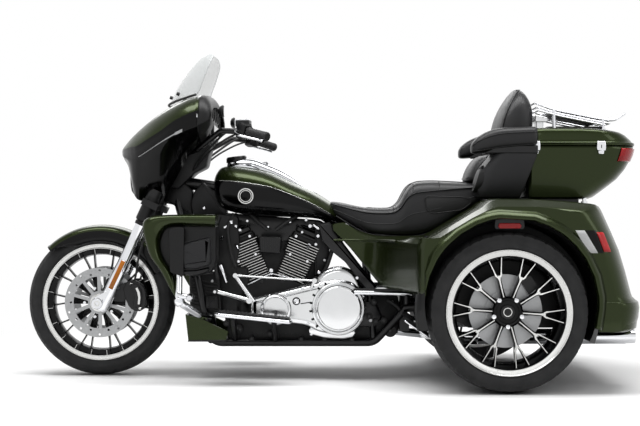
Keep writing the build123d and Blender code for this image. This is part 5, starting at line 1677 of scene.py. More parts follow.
@dataclass
class Backrest:
    """Upright pad, lumbar pad and padded arms on a hard shelf, with speaker pods under them."""

    def build(self) -> None:
        """Makes the pads and pods."""
        # z, front x, back x, half width
        upright = ((994, -718, -866, 150), (1006, -712, -868, 178), (1040, -712, -870, 190),
                   (1078, -718, -872, 191), (1120, -730, -873, 188), (1160, -748, -868, 176),
                   (1195, -768, -856, 152), (1220, -786, -842, 118), (1234, -800, -830, 76),
                   (1238, -808, -822, 40))
        rows = [self.pad(*row) for row in table_rows(upright, 2)]
        pillow(rows, "backrest_pad", "backrest")
        lumbar = ((838, -592, -700, 140), (850, -586, -700, 148), (880, -594, -700, 150),
                  (915, -612, -700, 148), (940, -634, -700, 140), (952, -660, -700, 124))
        pillow([self.pad(*row) for row in table_rows(lumbar, 2)], "lumbar_pad")
        # x, y middle, half width, low z, top z
        arm = ((-590, 248, 16, 960, 980), (-595, 250, 32, 952, 996), (-612, 254, 44, 950, 1016),
               (-646, 256, 51, 952, 1038), (-686, 256, 54, 958, 1053), (-730, 256, 56, 964, 1060),
               (-800, 256, 56, 970, 1063), (-852, 256, 54, 975, 1064), (-864, 256, 44, 985, 1058))
        rows = []
        for x, y, half, low, top in table_rows(arm, 2):
            mid, tall = (low + top) / 2, (top - low) / 2
            rows.append([(x, y + half * abs(math.cos(a)) ** 0.62 * (1 if math.cos(a) >= 0 else -1),
                          mid + tall * abs(math.sin(a)) ** 0.7 * (1 if math.sin(a) >= 0 else -1))
                         for a in angles(20)])
        shape = Shape().loft(rows)
        make(shape.both(), "arm_pads", VINYL, sharp=60, smooth=1, padded=FOAM)
        self.seams(rows)
        self.shelf()
        self.pods()

    def pad(self, z: float, front: float, back: float, half: float) -> list[Point]:
        """Cross-section of an upright pad, with a flat faceted front."""
        left = [(front + 1.5, 0), (front, half * 0.34), (front - 4, half * 0.62),
                (front - 14, half * 0.84), (front - 30, half * 0.96), ((front + back) / 2, half),
                (back + 22, half * 0.95), (back + 5, half * 0.78), (back, half * 0.5), (back, 0)]
        left = [(x, y, z) for x, y in left]
        return left + [(x, -y, zz) for x, y, zz in reversed(left[1:-1])]

    def seams(self, arm: Sequence[Sequence[Point]]) -> None:
        """Piping round the pads."""
        lines = Shape()
        upright = [(994, -718, 178), (1040, -714, 190), (1080, -720, 191), (1120, -732, 187),
                   (1160, -750, 175), (1195, -770, 151), (1220, -788, 117), (1234, -801, 75),
                   (1239, -809, 0)]
        edge = [(x - 17, y * 0.885, z) for z, x, y in table_rows(upright, 2)]
        lines.tube(edge, 2.2, 8)
        inner = [(x - 3.2, y * 0.5, z) for z, x, y in table_rows(upright[:-1], 2)]
        lines.tube(inner, 1.6, 8)
        lines.tube([row[1] for row in arm[2:-1]], 2.0, 8)
        lines.tube([row[18] for row in arm[2:-1]], 2.0, 8)
        lines.tube([(-588, 0, 852), (-588, 74, 852), (-594, 120, 856)], 1.6, 8)
        make(lines.both(), "backrest_piping", VINYL, sharp=60)

    def shelf(self) -> None:
        """Hard black tray under the arms."""
        outline = [(-640, 222), (-648, 284), (-680, 300), (-864, 303), (-864, -303), (-680, -300),
                   (-648, -284), (-640, -222), (-690, -190), (-690, 190)]
        tray = Shape().slab(outline, 950, 984, plane="xy")
        make(tray, "arm_tray", VINYL, "arm_shelf", slot="black_plastic", bevel=4)

    def pods(self) -> None:
        """Grey speaker pods with round speaker covers."""
        # z, front x, back x, inner y, outer y
        stations = ((762, -640, -792, 196, 262), (770, -612, -796, 192, 280), (800, -604, -806, 190, 292),
                    (840, -607, -822, 190, 298), (880, -622, -838, 190, 300), (915, -648, -852, 190, 301),
                    (940, -668, -862, 190, 301), (962, -684, -866, 192, 298))
        rows = []
        for z, front, back, inner, outer in table_rows(stations, 2):
            rows.append([(front, inner + 8, z), (front - 3, inner + (outer - inner) * 0.5, z),
                         (front - 14, outer - 16, z), (front - 34, outer - 4, z), (front - 60, outer, z),
                         (back + 14, outer, z), (back + 3, outer - 4, z), (back, outer - 16, z),
                         (back, inner, z), (front - 10, inner, z)])
        shape = Shape().loft(rows)
        make(shape.both(), "speaker_pod_shells", GREY_PLASTIC, "speaker_pods", sharp=30, bevel=1.5)
        ring = Shape()
        for prof in ([(58, -650), (58, -618), (54, -612), (48, -612), (46, -617), (46, -650)],
                     [(46, -618), (20, -614), (0.5, -613)]):
            rows = [[(d + 0.32 * (840 - (846 + q * math.sin(a))), 246 + q * 0.82 * math.cos(a),
                      846 + q * math.sin(a)) for q, d in prof] for a in angles(40)]
            ring.grid(rows, loop=True)
        make(ring.both(), "speaker_faces", PLASTIC, sharp=40)


# Engine


def rounded(outline: Sequence[Flat], radius: float, steps: int = 4) -> list[Flat]:
    """Rounds the corners of a closed outline.

    Args:
        outline: Corners in order.
        radius: Length taken from each side of a corner.
        steps: Points in each rounding.

    Returns:
        The points of the rounded outline.
    """
    spots = [Vector(p) for p in outline]
    line = []
    for k, here in enumerate(spots):
        line += corner(spots[k - 1], here, spots[(k + 1) % len(spots)], radius, 0.45, steps)
    return [tuple(p) for p in line]


def shrunk(outline: Sequence[Flat], gap: float) -> list[Flat]:
    """Outline moved inwards by a gap."""
    area = sum(a[0] * b[1] - b[0] * a[1] for a, b in zip(outline, [*outline[1:], outline[0]]))
    turn = 1 if area > 0 else -1
    line = []
    for k, here in enumerate(outline):
        before, after = Vector(outline[k - 1]), Vector(outline[(k + 1) % len(outline)])
        along = (after - before).normalized()
        line.append((here[0] - along.y * gap * turn, here[1] + along.x * gap * turn))
    return line


def tiers(outline: Sequence[Flat], levels: Sequence[tuple[float, float]]) -> Shape:
    """Closed side outline stacked outwards in tiers, each level a (y, gap) pair."""
    rows = [[(x, y, z) for x, z in (shrunk(outline, gap) if gap else outline)] for y, gap in levels]
    return Shape().loft(rows)


@dataclass
class Engine:
    """Air-cooled V twin: finned cylinders, rocker covers, polished primary and cam covers, air cleaner."""

    crank: Flat = (242.0, 242.0)
    lean: float = math.radians(22.5)
    # Centres of the round covers: clutch, sprocket, inspection screw, cam disc and air cleaner
    clutch: Flat = (-39, 301)
    sprocket: Flat = (226, 296)
    inspection: Flat = (139, 331)
    cam_disc: Flat = (242, 262)
    air_cleaner: Flat = (236, 540)
    primary: tuple[Flat, ...] = ((336, 336), (322, 344), (180, 377), (62, 406), (-20, 424), (-100, 414),
                                 (-140, 370), (-154, 320), (-150, 262), (-118, 204), (-60, 186), (40, 196),
                                 (98, 226), (240, 242), (322, 250), (336, 264))

    def axis(self, side: int) -> tuple[Vector, Vector, Vector]:
        """Crank point, direction up the cylinder and direction across it."""
        turn = side * self.lean
        return (Vector((self.crank[0], 0, self.crank[1])), Vector((math.sin(turn), 0, math.cos(turn))),
                Vector((math.cos(turn), 0, -math.sin(turn))))

    def plate(self, side: int, distance: float, wide: float, deep: float, thick: float, corner: float = 15,
              trim: float = 0.0) -> Shape:
        """Rounded plate across a cylinder."""
        base, up, across = self.axis(side)
        outline = rounded([(-wide, -deep), (wide, -deep), (wide, deep), (-wide, deep)], corner)
        small = shrunk(outline, trim) if trim else outline
        levels = [(distance, outline), (distance + thick, outline)]
        if trim:
            levels = [(distance, small), (distance + trim, outline), (distance + thick - trim, outline),
                      (distance + thick, small)]
        rows = [[base + up * h + across * u + Vector((0, v, 0)) for u, v in line] for h, line in levels]
        return Shape().loft(rows)

    def build(self) -> None:
        """Makes the engine's pieces."""
        cores, lids, caps, plugs = Shape(), Shape(), Shape(), Shape()
        for side in (1, -1):
            base, up, across = self.axis(side)
            tag = "front" if side > 0 else "rear"
            for part, first, count, wide, deep in (("barrel", 172, 11, 65, 69.5),
                                                   ("head", 298, 6, 74, 79)):
                fin = self.plate(side, first, wide, deep, 3.4)
                repeated(fin, f"{tag}_{part}_fins", WRINKLE, count, Spread.LINE, step=up * 11.4)
                edge = self.plate(side, first + 0.6, wide + 0.5, deep + 0.6, 2.2)
                repeated(edge, f"{tag}_{part}_fin_edges", MACHINED, count, Spread.LINE,
                         slot="engine_black", step=up * 11.4)
            cores.tube([base + up * 150, base + up * 300], 54, 40)
            cores.joined(self.plate(side, 296, 54, 58, 92))
            cores.joined(self.plate(side, 362, 68, 72, 20, 18, 3))
            lids.joined(self.plate(side, 380, 66, 70, 10, 20, 2))
            lids.joined(self.plate(side, 392, 62, 66, 24, 22, 5))
            caps.joined(self.plate(side, 416, 54, 58, 14, 24, 6))
            for u in (-1, 1):
                for v in (-1, 0, 1):
                    caps.bolt(base + up * 414 + across * u * 57 + Vector((0, v * 60, 0)), 6, 7, 12,
                              along=up)
            for v in (-1, 1):
                spot = base + up * 346 + across * side * 20 + Vector((0, v * 80, 0))
                plugs.tube([spot, spot + Vector((0, v * 14, 0)), spot + Vector((0, v * 26, 0)) + up * 14],
                           7, 14)
            for u, h in ((-46, 372), (46, 372), (-40, 290), (40, 290)):
                plugs.bolt(base + up * h + across * u + Vector((0, 78, 0)), 7, 8, 12)
        make(cores, "cylinder_cores", WRINKLE, "cylinders", sharp=40)
        make(lids, "rocker_bases", SATIN, "rocker_boxes", slot="chrome", sharp=40)
        make(caps, "rocker_caps", BLACK, slot="engine_black", sharp=40)
        make(plugs, "cylinder_bolts", CHROME, sharp=40)
        self.left_side()
        self.right_side()
        self.middle()

    def left_side(self) -> None:
        """Polished primary cover with its round blank cover, bulges, slots and bolts."""
        outline = rounded(self.primary, 26, 5)
        body = tiers(outline, ((106, 0), (172, 0), (182, 3), (188, 9), (190, 18)))
        face = shrunk(outline, 22)
        body.joined(tiers(face, ((188, 0), (193, 1), (195.5, 5))))
        dome = [(70, 398), (44, 440), (8, 466), (-40, 478), (-88, 466), (-124, 436), (-146, 392),
                (-150, 340), (40, 340)]
        body.joined(tiers(rounded(dome, 24), ((106, 0), (150, 0), (166, 6), (174, 16), (176, 28))))
        foot = [(88, 190), (92, 214), (60, 232), (-90, 232), (-116, 198), (-104, 176), (-60, 168),
                (20, 172)]
        body.joined(tiers(rounded(foot, 14), ((106, 0), (168, 0), (176, 5), (178, 12))))
        make(body, "primary_case", POLISHED, "primary_cover", sharp=32, bevel=1.2)
        discs = Shape()
        discs.lathe([(40, 186), (114, 186), (114, 200), (111, 206), (106, 208), (101, 207), (100, 200),
                     (40, 200)], self.clutch, 80)
        discs.lathe([(0.5, 203), (98, 203), (98, 224), (95, 229.5), (89, 231.5), (86, 230), (83, 230.5),
                     (40, 232.3), (0.5, 232.8)], self.clutch, 80)
        discs.lathe([(0.5, 190), (66, 190), (66, 200), (62, 206), (54, 209), (50, 206), (46, 206.5),
                     (0.5, 208)], self.sprocket, 60)
        make(discs, "primary_round_covers", POLISHED, sharp=25)
        screws, slots = Shape(), Shape()
        cx, cz = self.clutch
        for k in range(6):
            a = math.radians(30 + 60 * k)
            screws.bolt((cx + 90 * math.cos(a), 229, cz + 90 * math.sin(a)), 4.2, 3.2, 12)
        for x, z in ((322, 330), (318, 262), (252, 352), (180, 364), (112, 384), (40, 404), (-96, 400),
                     (-140, 350), (-138, 262), (-104, 212), (90, 236), (170, 246), (250, 254)):
            screws.bolt((x, 186, z), 6.0, 6, 14)
        for x, z in ((76, 190), (20, 184), (-40, 180), (-96, 188), (44, 452), (-20, 466), (-118, 428)):
            screws.bolt((x, 164, z), 7.0, 8, 14)
        screws.lathe([(0.5, 194), (12, 194), (12, 202), (9, 204), (0.5, 204)], self.inspection, 24)
        make(screws, "primary_screws", CHROME, sharp=35)
        slots.lathe([(12, 194), (17, 194), (17, 199), (12, 199)], self.inspection, 28)
        slots.slab(rounded([(122, 322), (82, 328), (81, 324), (121, 318)], 1.5), 194, 197)
        slit = ((106, -5), (124, -4), (124, 4), (106, 5))
        for k in range(7):
            a = math.radians(118 + 17 * k)
            c, s = math.cos(a), math.sin(a)
            slots.slab([(cx - r * c + w * s, cz + r * s + w * c) for r, w in slit], 194, 201)
        make(slots, "primary_slots", BLACK, slot="engine_black", sharp=35)
        x, z = self.sprocket
        arch = [(x + 54 * math.cos(a), 207.5, z + 54 * math.sin(a))
                for a in (math.radians(d) for d in range(-10, 200, 10))]
        make(Shape().tube(arch, 2.2, 8), "sprocket_cover_bead", CHROME, sharp=60)

    def right_side(self) -> None:
        """Cam cover with cooling fins, pushrod tubes and a round chrome air cleaner."""
        cam = rounded([(338, 200), (350, 300), (300, 372), (184, 372), (134, 300), (146, 200), (190, 166),
                       (294, 166)], 20, 5)
        body = tiers(cam, ((-93, 0), (-120, 0), (-126, 4), (-128, 12)))
        make(body, "cam_case", POLISHED, "cam_cover", sharp=32, bevel=1.2)
        disc = Shape().lathe([(0.5, -126), (60, -126), (60, -133), (56, -137), (50, -137), (47, -135),
                              (0.5, -136.5)], self.cam_disc, 60)
        x, z = self.cam_disc
        for k in range(5):
            a = math.radians(18 + 72 * k)
            disc.bolt((x + 53 * math.cos(a), -136, z + 53 * math.sin(a)), 4, 3, 12, along=-LEFT)
        rib = Shape().slab(rounded([(170, 336), (314, 336), (314, 340), (170, 340)], 1.5), -131, -127)
        repeated(rib, "cam_ribs", MACHINED, 5, Spread.LINE, step=(0, 0, 7.0))
        for side in (1, -1):
            for spread in (-15, 15):
                low = Vector((242 + side * 46 + spread, -112, 364))
                high = Vector((242 + side * 104 + spread, -92, 512))
                along = (high - low).normalized()
                disc.tube([low, low + along * 40, low + along * 41, low + along * 46, low + along * 47,
                           high], [11, 11, 12.5, 12.5, 8.5, 8.5], 20)
        make(disc, "cam_disc_and_pushrods", CHROME, sharp=30)
        lid = Shape().lathe([(0.5, -150), (90, -150), (98, -156), (98, -200), (94, -212), (84, -220),
                             (70, -222), (66, -219), (0.5, -221)], self.air_cleaner, 80)
        make(lid, "air_cleaner_cover", CHROME, "air_cleaner", sharp=30)
        back = Shape().lathe([(0.5, -140), (82, -140), (88, -151), (0.5, -151)], self.air_cleaner, 60)
        back.slab(rounded([(190, 520), (282, 520), (282, 580), (190, 580)], 12), -146, -60)
        back.slab(rounded([(206, 536), (298, 536), (298, 604), (206, 604)], 12), -66, 100)
        make(back, "intake_tract", SATIN, slot="engine_black", sharp=30, bevel=2)

    def middle(self) -> None:
        """Ribbed box between the cylinders, bright crankcase edges, and bolts over the case and frame."""
        box = Shape().slab(rounded([(300, 604), (296, 534), (210, 530), (204, 600)], 10), 90, 128)
        make(box, "coil_box", SATIN, slot="engine_black", bevel=4)
        rib = Shape().slab(rounded([(214, 538), (216, 538), (216, 598), (214, 598)], 0.5), 127, 130)
        repeated(rib, "coil_box_ribs", SATIN, 9, Spread.LINE, slot="engine_black", step=(9.5, 0, 0))
        trims = Shape().tube([(350, 96, 396), (249, 96, 444), (146, 96, 418)], 3.2, 10, bend=6)
        trims.bolt((249, 98, 456), 9, 6, 14).bolt((249, 98, 440), 6, 7, 14)
        make(trims, "case_top_trim", CHROME, sharp=40)
        bolts, bosses = Shape(), Shape()
        # x, z, bolt radius, boss radius
        for x, z, r, big in ((385, 209, 10, 17), (438, 233, 8, 14), (409, 233, 7, 12), (253, 189, 6, 11),
                             (-189, 324, 8, 14), (-170, 263, 8, 15), (-198, 242, 7, 13),
                             (-233, 245, 8, 14), (-260, 201, 7, 27), (20, 166, 6, 11), (-96, 162, 6, 11),
                             (120, 164, 6, 11), (330, 166, 6, 11)):
            bosses.tube([(x, 96, z), (x, 146, z)], big, 24)
            bolts.bolt((x, 145, z), r, 6, 14)
        for x, z in ((200, 408), (290, 408), (372, 320), (372, 240), (120, 350), (96, 300)):
            bolts.bolt((x, 91, z), 7, 6, 12)
        make(bosses.both(), "case_bosses", WRINKLE, sharp=35, bevel=1.5)
        make(bolts.both(), "case_bolts", SATIN, slot="chrome", sharp=35)
        stay = [(48, 656), (-3, 665), (-67, 567), (-207, 384), (-156, 375), (-67, 495), (-3, 546),
                (31, 588)]
        cover = tiers(rounded(stay, 8), ((112, 0), (150, 0), (158, 3), (161, 10)))
        make(cover.both(), "seat_stays", SATIN, sharp=40)
        sump = Shape().slab(rounded([(450, 268), (430, 146), (360, 132), (-60, 130), (-110, 142),
                                     (-170, 170), (-176, 262)], 14), -98, 98)
        make(sump, "sump", WRINKLE, bevel=6)
        rib = Shape().slab(rounded([(400, 132), (404, 132), (404, 186), (400, 186)], 1), 97, 103)
        repeated(rib.both(), "sump_ribs", WRINKLE, 22, Spread.LINE, step=(-24.0, 0, 0))


# Feet and shields


@dataclass
class FootControls:
    """Rider's and passenger's boards, gear lever with its rod, brake pedal and step rails."""

    def build(self) -> None:
        """Makes the boards and levers."""
        place = Matrix.Translation((310, 352, 279)) @ Matrix.Rotation(math.radians(-6), 4, "Y")
        shape = rounded([(-150, -62), (140, -62), (152, -40), (152, 52), (138, 63), (-128, 63), (-152, 44),
                         (-152, -50)], 14)
        board = Shape().slab(shape, -8, 3, plane="xy").moved(place)
        make(board.both(), "board_plates", SATIN, "footboards", slot="rubber", bevel=2)
        pad = Shape().slab(shrunk(shape, 7), 2.5, 8, plane="xy").moved(place)
        make(pad.both(), "board_pads", RUBBER, bevel=1.5)
        rib = Shape().slab(rounded([(-136, -50), (-129, -50), (-129, 50), (-136, 50)], 2), 7.5, 10.5,
                           plane="xy").moved(place)
        step = place.to_3x3() @ Vector((15.2, 0, 0))
        repeated(rib.both(),  "board_ribs", RUBBER, 18, Spread.LINE, step=step)
        path = ((-154, 20, -4), (-150, 60, -4), (-120, 66, -4), (120, 66, -4), (150, 58, -4),
                (155, 20, -4))
        rim = Shape().tube([place @ Vector(p) for p in path], 8, 16, bend=16)
        arms = Shape().tube([(400, 140, 170), (400, 250, 232), (400, 330, 276)], 11, 18, bend=30)
        arms.tube([(230, 140, 160), (230, 250, 222), (230, 330, 260)], 11, 18, bend=30)
        make(rim.both(), "board_edges", CHROME, sharp=50)
        make(arms.both(), "board_arms", SATIN, sharp=50)
        rear = Matrix.Translation((-356, 372, 236)) @ Matrix.Rotation(math.radians(-35), 4, "Y")
        small = rounded([(-59, -46), (59, -46), (59, 48), (-59, 48)], 16)
        tread = Shape().slab(shrunk(small, 6), 2.5, 9, plane="xy")
        back = Shape().slab(small, -9, 3, plane="xy").joined(tread).moved(rear)
        back.tube([(-318, 150, 276), (-330, 240, 268), (-336, 330, 258)], 12, 18, bend=24)
        make(back.both(), "passenger_boards", RUBBER, sharp=35, bevel=2)
        line = [rear @ Vector(p) for p in ((-60, 20, -4), (-58, 50, -4), (58, 50, -4), (60, 20, -4))]
        make(Shape().tube(line, 4.5, 12, bend=12).both(), "passenger_board_edges", CHROME, sharp=50)
        self.levers()

    def levers(self) -> None:
        """Gear lever, its rod and arm, and the brake pedal on the other side."""
        shift = Shape().tube([(326, 282, 337), (400, 282, 358), (470, 284, 378)], [11, 9, 8.5], 16)
        shift.tube([(333, 190, 339), (333, 294, 339)], 12, 20)
        shift.tube([(472, 280, 379), (472, 342, 379)], 6, 14)
        shift.tube([(318, 250, 332), (356, 250, 388), (393, 250, 442)], [12, 9, 8.5], 16)
        shift.tube([(393, 238, 442), (393, 262, 442)], 10, 16)
        shift.tube([(393, 258, 442), (230, 244, 430), (62, 226, 419)], 4.2, 12)
        shift.tube([(62, 190, 419), (62, 234, 419)], 10, 16)
        shift.tube([(62, 222, 419), (76, 222, 388)], [9, 7], 14)
        for x, y, z in ((384, 240, 441.5), (74, 220, 420)):
            shift.tube([(x, y, z), (x - 18, y, z - 1)], 6.5, 6)
        make(shift, "gear_lever", POLISHED, "foot_levers", sharp=40)
        pegs = Shape()
        steps = [(292 + 4 * k, 10.5 if k % 2 else 8.5) for k in range(13)]
        pegs.tube([(472, y, 379) for y, _ in steps], [r for _, r in steps], 18)
        pegs.slab(rounded([(436, -338), (502, -338), (502, -282), (436, -282)], 10), 370, 380, plane="xy")
        make(pegs, "lever_rubbers", RUBBER, sharp=40, bevel=0.6)
        pedal = Shape().tube([(333, -130, 330), (333, -292, 330)], 12, 20)
        pedal.tube([(333, -284, 330), (400, -290, 346), (468, -308, 368)], [11, 8.5, 8], 16)
        make(pedal, "brake_pedal", POLISHED, sharp=40)
        rail = Shape().tube([(-196, 140, 369), (-196, 262, 369), (-340, 262, 366)], 8, 16, bend=14)
        rail.tube([(-104, 262, 371), (-344, 262, 367)], 9.5, 20)
        make(rail.both(), "step_rails", CHROME, sharp=50)
        cover = Shape().slab(rounded([(-100, 379), (-344, 377), (-344, 386), (-100, 388)], 3), 244, 268)
        make(cover.both(), "step_rail_covers", SATIN, bevel=1.5)


@dataclass
class LegShields:
    """Olive leg shields with a dark recess and a grey glove box, highway pegs and the guard's clamps."""

    # Outer and inner edges of the olive skin, from the top's rear end round the front to the foot
    outer: tuple[Flat, ...] = ((464, 697), (560, 697), (650, 696), (712, 692), (744, 682), (760, 664),
                               (761, 632), (751, 590), (730, 526), (690, 468), (650, 396), (622, 352))
    inner: tuple[Flat, ...] = ((464, 645), (540, 648), (600, 650), (646, 646), (674, 632), (688, 610),
                               (692, 582), (688, 544), (674, 508), (648, 474), (630, 432), (614, 358))
    recess: tuple[Flat, ...] = ((676, 640), (650, 654), (462, 656), (461, 500), (486, 456), (604, 450),
                                (640, 462), (662, 482), (681, 514), (695, 550), (696, 590))

    def build(self) -> None:
        """Makes the shields' pieces."""
        rows = []
        # Share of the way from the outer to the inner edge, and y
        bulge = ((0, 250), (0, 392), (0.03, 404), (0.1, 414), (0.25, 422), (0.45, 424), (0.65, 420),
                 (0.82, 411), (0.94, 400), (1, 388), (1, 300), (0.9, 250))
        for (xa, za), (xb, zb) in zip(smooth_line(self.outer, 48), smooth_line(self.inner, 48)):
            rows.append([(xa + (xb - xa) * t, y, za + (zb - za) * t) for t, y in bulge])
        shell = Shape().loft(rows)
        make(shell.both(), "leg_shields", GREEN, "lower_fairings", sharp=50)
        hole = rounded(self.recess, 18, 4)
        column = Shape().slab(rounded([(590, 648), (654, 640), (648, 462), (592, 444)], 12), 300, 421)
        make(column.both(), "shield_columns", PLASTIC, bevel=10, segments=3)
        back = tiers(hole, ((262, 0), (380, 0), (388, 3), (391, 9)))
        make(back.both(), "shield_recesses", PLASTIC, sharp=50)
        box = rounded([(619, 561), (606, 576), (584, 583), (484, 608), (480, 492), (545, 474), (597, 474),
                       (614, 520)], 14, 4)
        glove = tiers(box, ((322, 0), (400, 0), (408, 4), (413, 11), (415, 22)))
        make(glove.both(), "glove_boxes", GREY_PLASTIC, sharp=40)
        seam = tiers(shrunk(box, -3.5), ((322, 0), (396, 0)))
        bowl = rounded([(604, 470), (545, 472), (486, 484), (492, 462), (540, 446), (598, 450)], 12)
        seam.joined(tiers(bowl, ((300, 0), (392, 0), (402, 6))))
        make(seam.both(), "glove_box_frames", SATIN, slot="black_plastic", sharp=40)
        chrome = Shape().tube([(612, 428, 358), (610, 428, 352), (604, 424, 336), (602, 423, 333)],
                              [17, 21, 21, 17], 24)
        chrome.tube([(610, 430, 372), (596, 448, 368), (552, 462, 364)], [12, 11, 10], 18)
        chrome.tube([(560, 440, 364), (560, 446, 364), (560, 500, 364), (560, 512, 364)], [10, 15, 15, 10],
                    24)
        make(chrome.both(), "guard_clamps_and_pegs", CHROME, sharp=40)
        rib = Shape().tube([(560, 452, 364), (560, 457, 364)], 16.2, 24)
        make(rib.both(), "peg_rings", RUBBER)
        hem = Shape().slab([(603, 156), (598, 164), (436, 164), (436, 156)], -160, 160)
        make(hem, "chin_hem", SATIN, bevel=2)


@dataclass
class Innards:
    """Black covers, boxes, hoses and bolts that fill the room between engine, tank, neck and shields:
    partly real black parts, partly black fill that is painted shade for the depth between them.
    """

    # The black blocks close gaps that show dark through the machine: partly real covers and boxes, partly
    # painted shade for the depth between parts.
    # Name, half width, finish, body, then the outline
    blocks: tuple[tuple, ...] = (
        ("spine_cover", 52, SATIN, "chassis",
         ((476, 706), (40, 672), (-12, 640), (8, 585), (60, 570), (420, 596), (484, 640))),
        ("neck_cover", 60, PLASTIC, "chassis",
         ((588, 690), (598, 746), (584, 796), (546, 838), (502, 800), (466, 818), (436, 796), (446, 690))),
        ("head_cover", 46, PLASTIC, "chassis",
         ((712, 746), (706, 828), (640, 846), (592, 800), (592, 696), (640, 690), (672, 738))),
        ("fairing_inner_cover", 86, PLASTIC, "steering",
         ((640, 1070), (541, 1100), (516, 1060), (511, 978), (530, 900), (578, 876), (650, 806),
          (700, 820), (700, 1010))),
        ("coil_housing", 96, PLASTIC, "chassis",
         ((486, 700), (392, 690), (384, 560), (404, 436), (486, 430), (494, 560))),
        ("regulator_block", 118, WRINKLE, "chassis",
         ((600, 440), (470, 446), (458, 262), (520, 254), (596, 300))),
        ("regulator_box", 148, PLASTIC, "chassis",
         ((526, 352), (474, 352), (470, 294), (526, 294))),
        ("case_front", 92, WRINKLE, "chassis",
         ((480, 430), (440, 476), (350, 470), (330, 260), (470, 255))),
        ("engine_core", 46, WRINKLE, "chassis",
         ((410, 600), (60, 600), (20, 520), (60, 400), (400, 400))),
        ("rear_head_cover", 78, PLASTIC, "chassis",
         ((62, 668), (8, 660), (-4, 560), (10, 440), (62, 430))),
        ("gear_case", 112, WRINKLE, "chassis",
         ((-90, 352), (-296, 350), (-304, 250), (-294, 184), (-243, 187), (-204, 150), (-149, 156),
          (-90, 160))),
        ("pivot_cover", 136, SATIN, "chassis",
         ((-120, 320), (-196, 328), (-226, 262), (-196, 214), (-126, 222))),
    )
    # x, z, y, radius of the bright bolts and unions round the heads and the neck
    studs: tuple[tuple[float, float, float, float], ...] = (
        (421, 664, 98, 8), (400, 647, 104, 6), (460, 596, 98, 9), (436, 604, 98, 6), (383, 630, 92, 7),
        (352, 669, 84, 6), (262, 643, 92, 5), (99, 673, 80, 7), (82, 647, 82, 9), (116, 621, 90, 6),
        (48, 604, 80, 8), (168, 664, 84, 5), (560, 400, 120, 6), (500, 412, 120, 6), (478, 272, 120, 7),
        (540, 724, 62, 6), (470, 760, 62, 6), (-150, 300, 138, 7), (-176, 246, 138, 8),
        (-270, 322, 114, 7), (-270, 214, 114, 7), (20, 500, 80, 6)
    )

    def build(self) -> None:
        """Makes the covers, hoses and bolts."""
        for name, half, finish, body, outline in self.blocks:
            edge = rounded(list(outline), 10, 3)
            levels = ((-half, 9), (-half + 2.6, 2.6), (-half + 9, 0), (half - 9, 0), (half - 2.6, 2.6),
                      (half, 9))
            make(tiers(edge, levels), name, finish, body=body, slot="engine_black", sharp=38)
        studs, nuts = Shape(), Shape()
        for x, z, y, r in self.studs:
            for side in (1, -1):
                (studs if z > 590 else nuts).bolt((x, side * y, z), r, r, 12, along=LEFT * side)
        make(nuts, "case_nuts", DISC, sharp=40)
        studs.tube([(466, 112, 480), (452, 114, 446), (440, 110, 406)], [9, 7, 5], 14)
        studs.tube([(418, 92, 672), (432, 100, 650), (452, 104, 640)], 7, 14)
        studs.tube([(66, 84, 652), (48, 92, 636), (30, 92, 634)], 7, 14)
        make(studs, "engine_studs", CHROME, sharp=40)
        hoses = Shape()
        for path in ([(410, 84, 700), (438, 108, 640), (424, 112, 540), (400, 104, 470)],
                     [(470, 96, 690), (504, 110, 610), (492, 112, 500), (478, 120, 420)],
                     [(340, 70, 700), (300, 104, 660), (262, 106, 630)],
                     [(120, 60, 700), (180, 100, 668), (230, 104, 630)],
                     [(20, 78, 650), (-20, 96, 560), (10, 108, 470), (30, 104, 440)],
                     [(-90, 118, 350), (-40, 124, 420), (10, 110, 450)],
                     [(-250, 112, 330), (-300, 140, 300), (-330, 150, 240)]):
            hoses.tube(path, 8, 14, bend=28)
        make(hoses.both(), "engine_hoses", RUBBER, sharp=60)
        rib = Shape().slab(rounded([(592, 310), (476, 284), (476, 288), (592, 314)], 1), 116, 128)
        repeated(rib.both(), "regulator_ribs", WRINKLE, 9, Spread.LINE, step=(0, 0, 14))


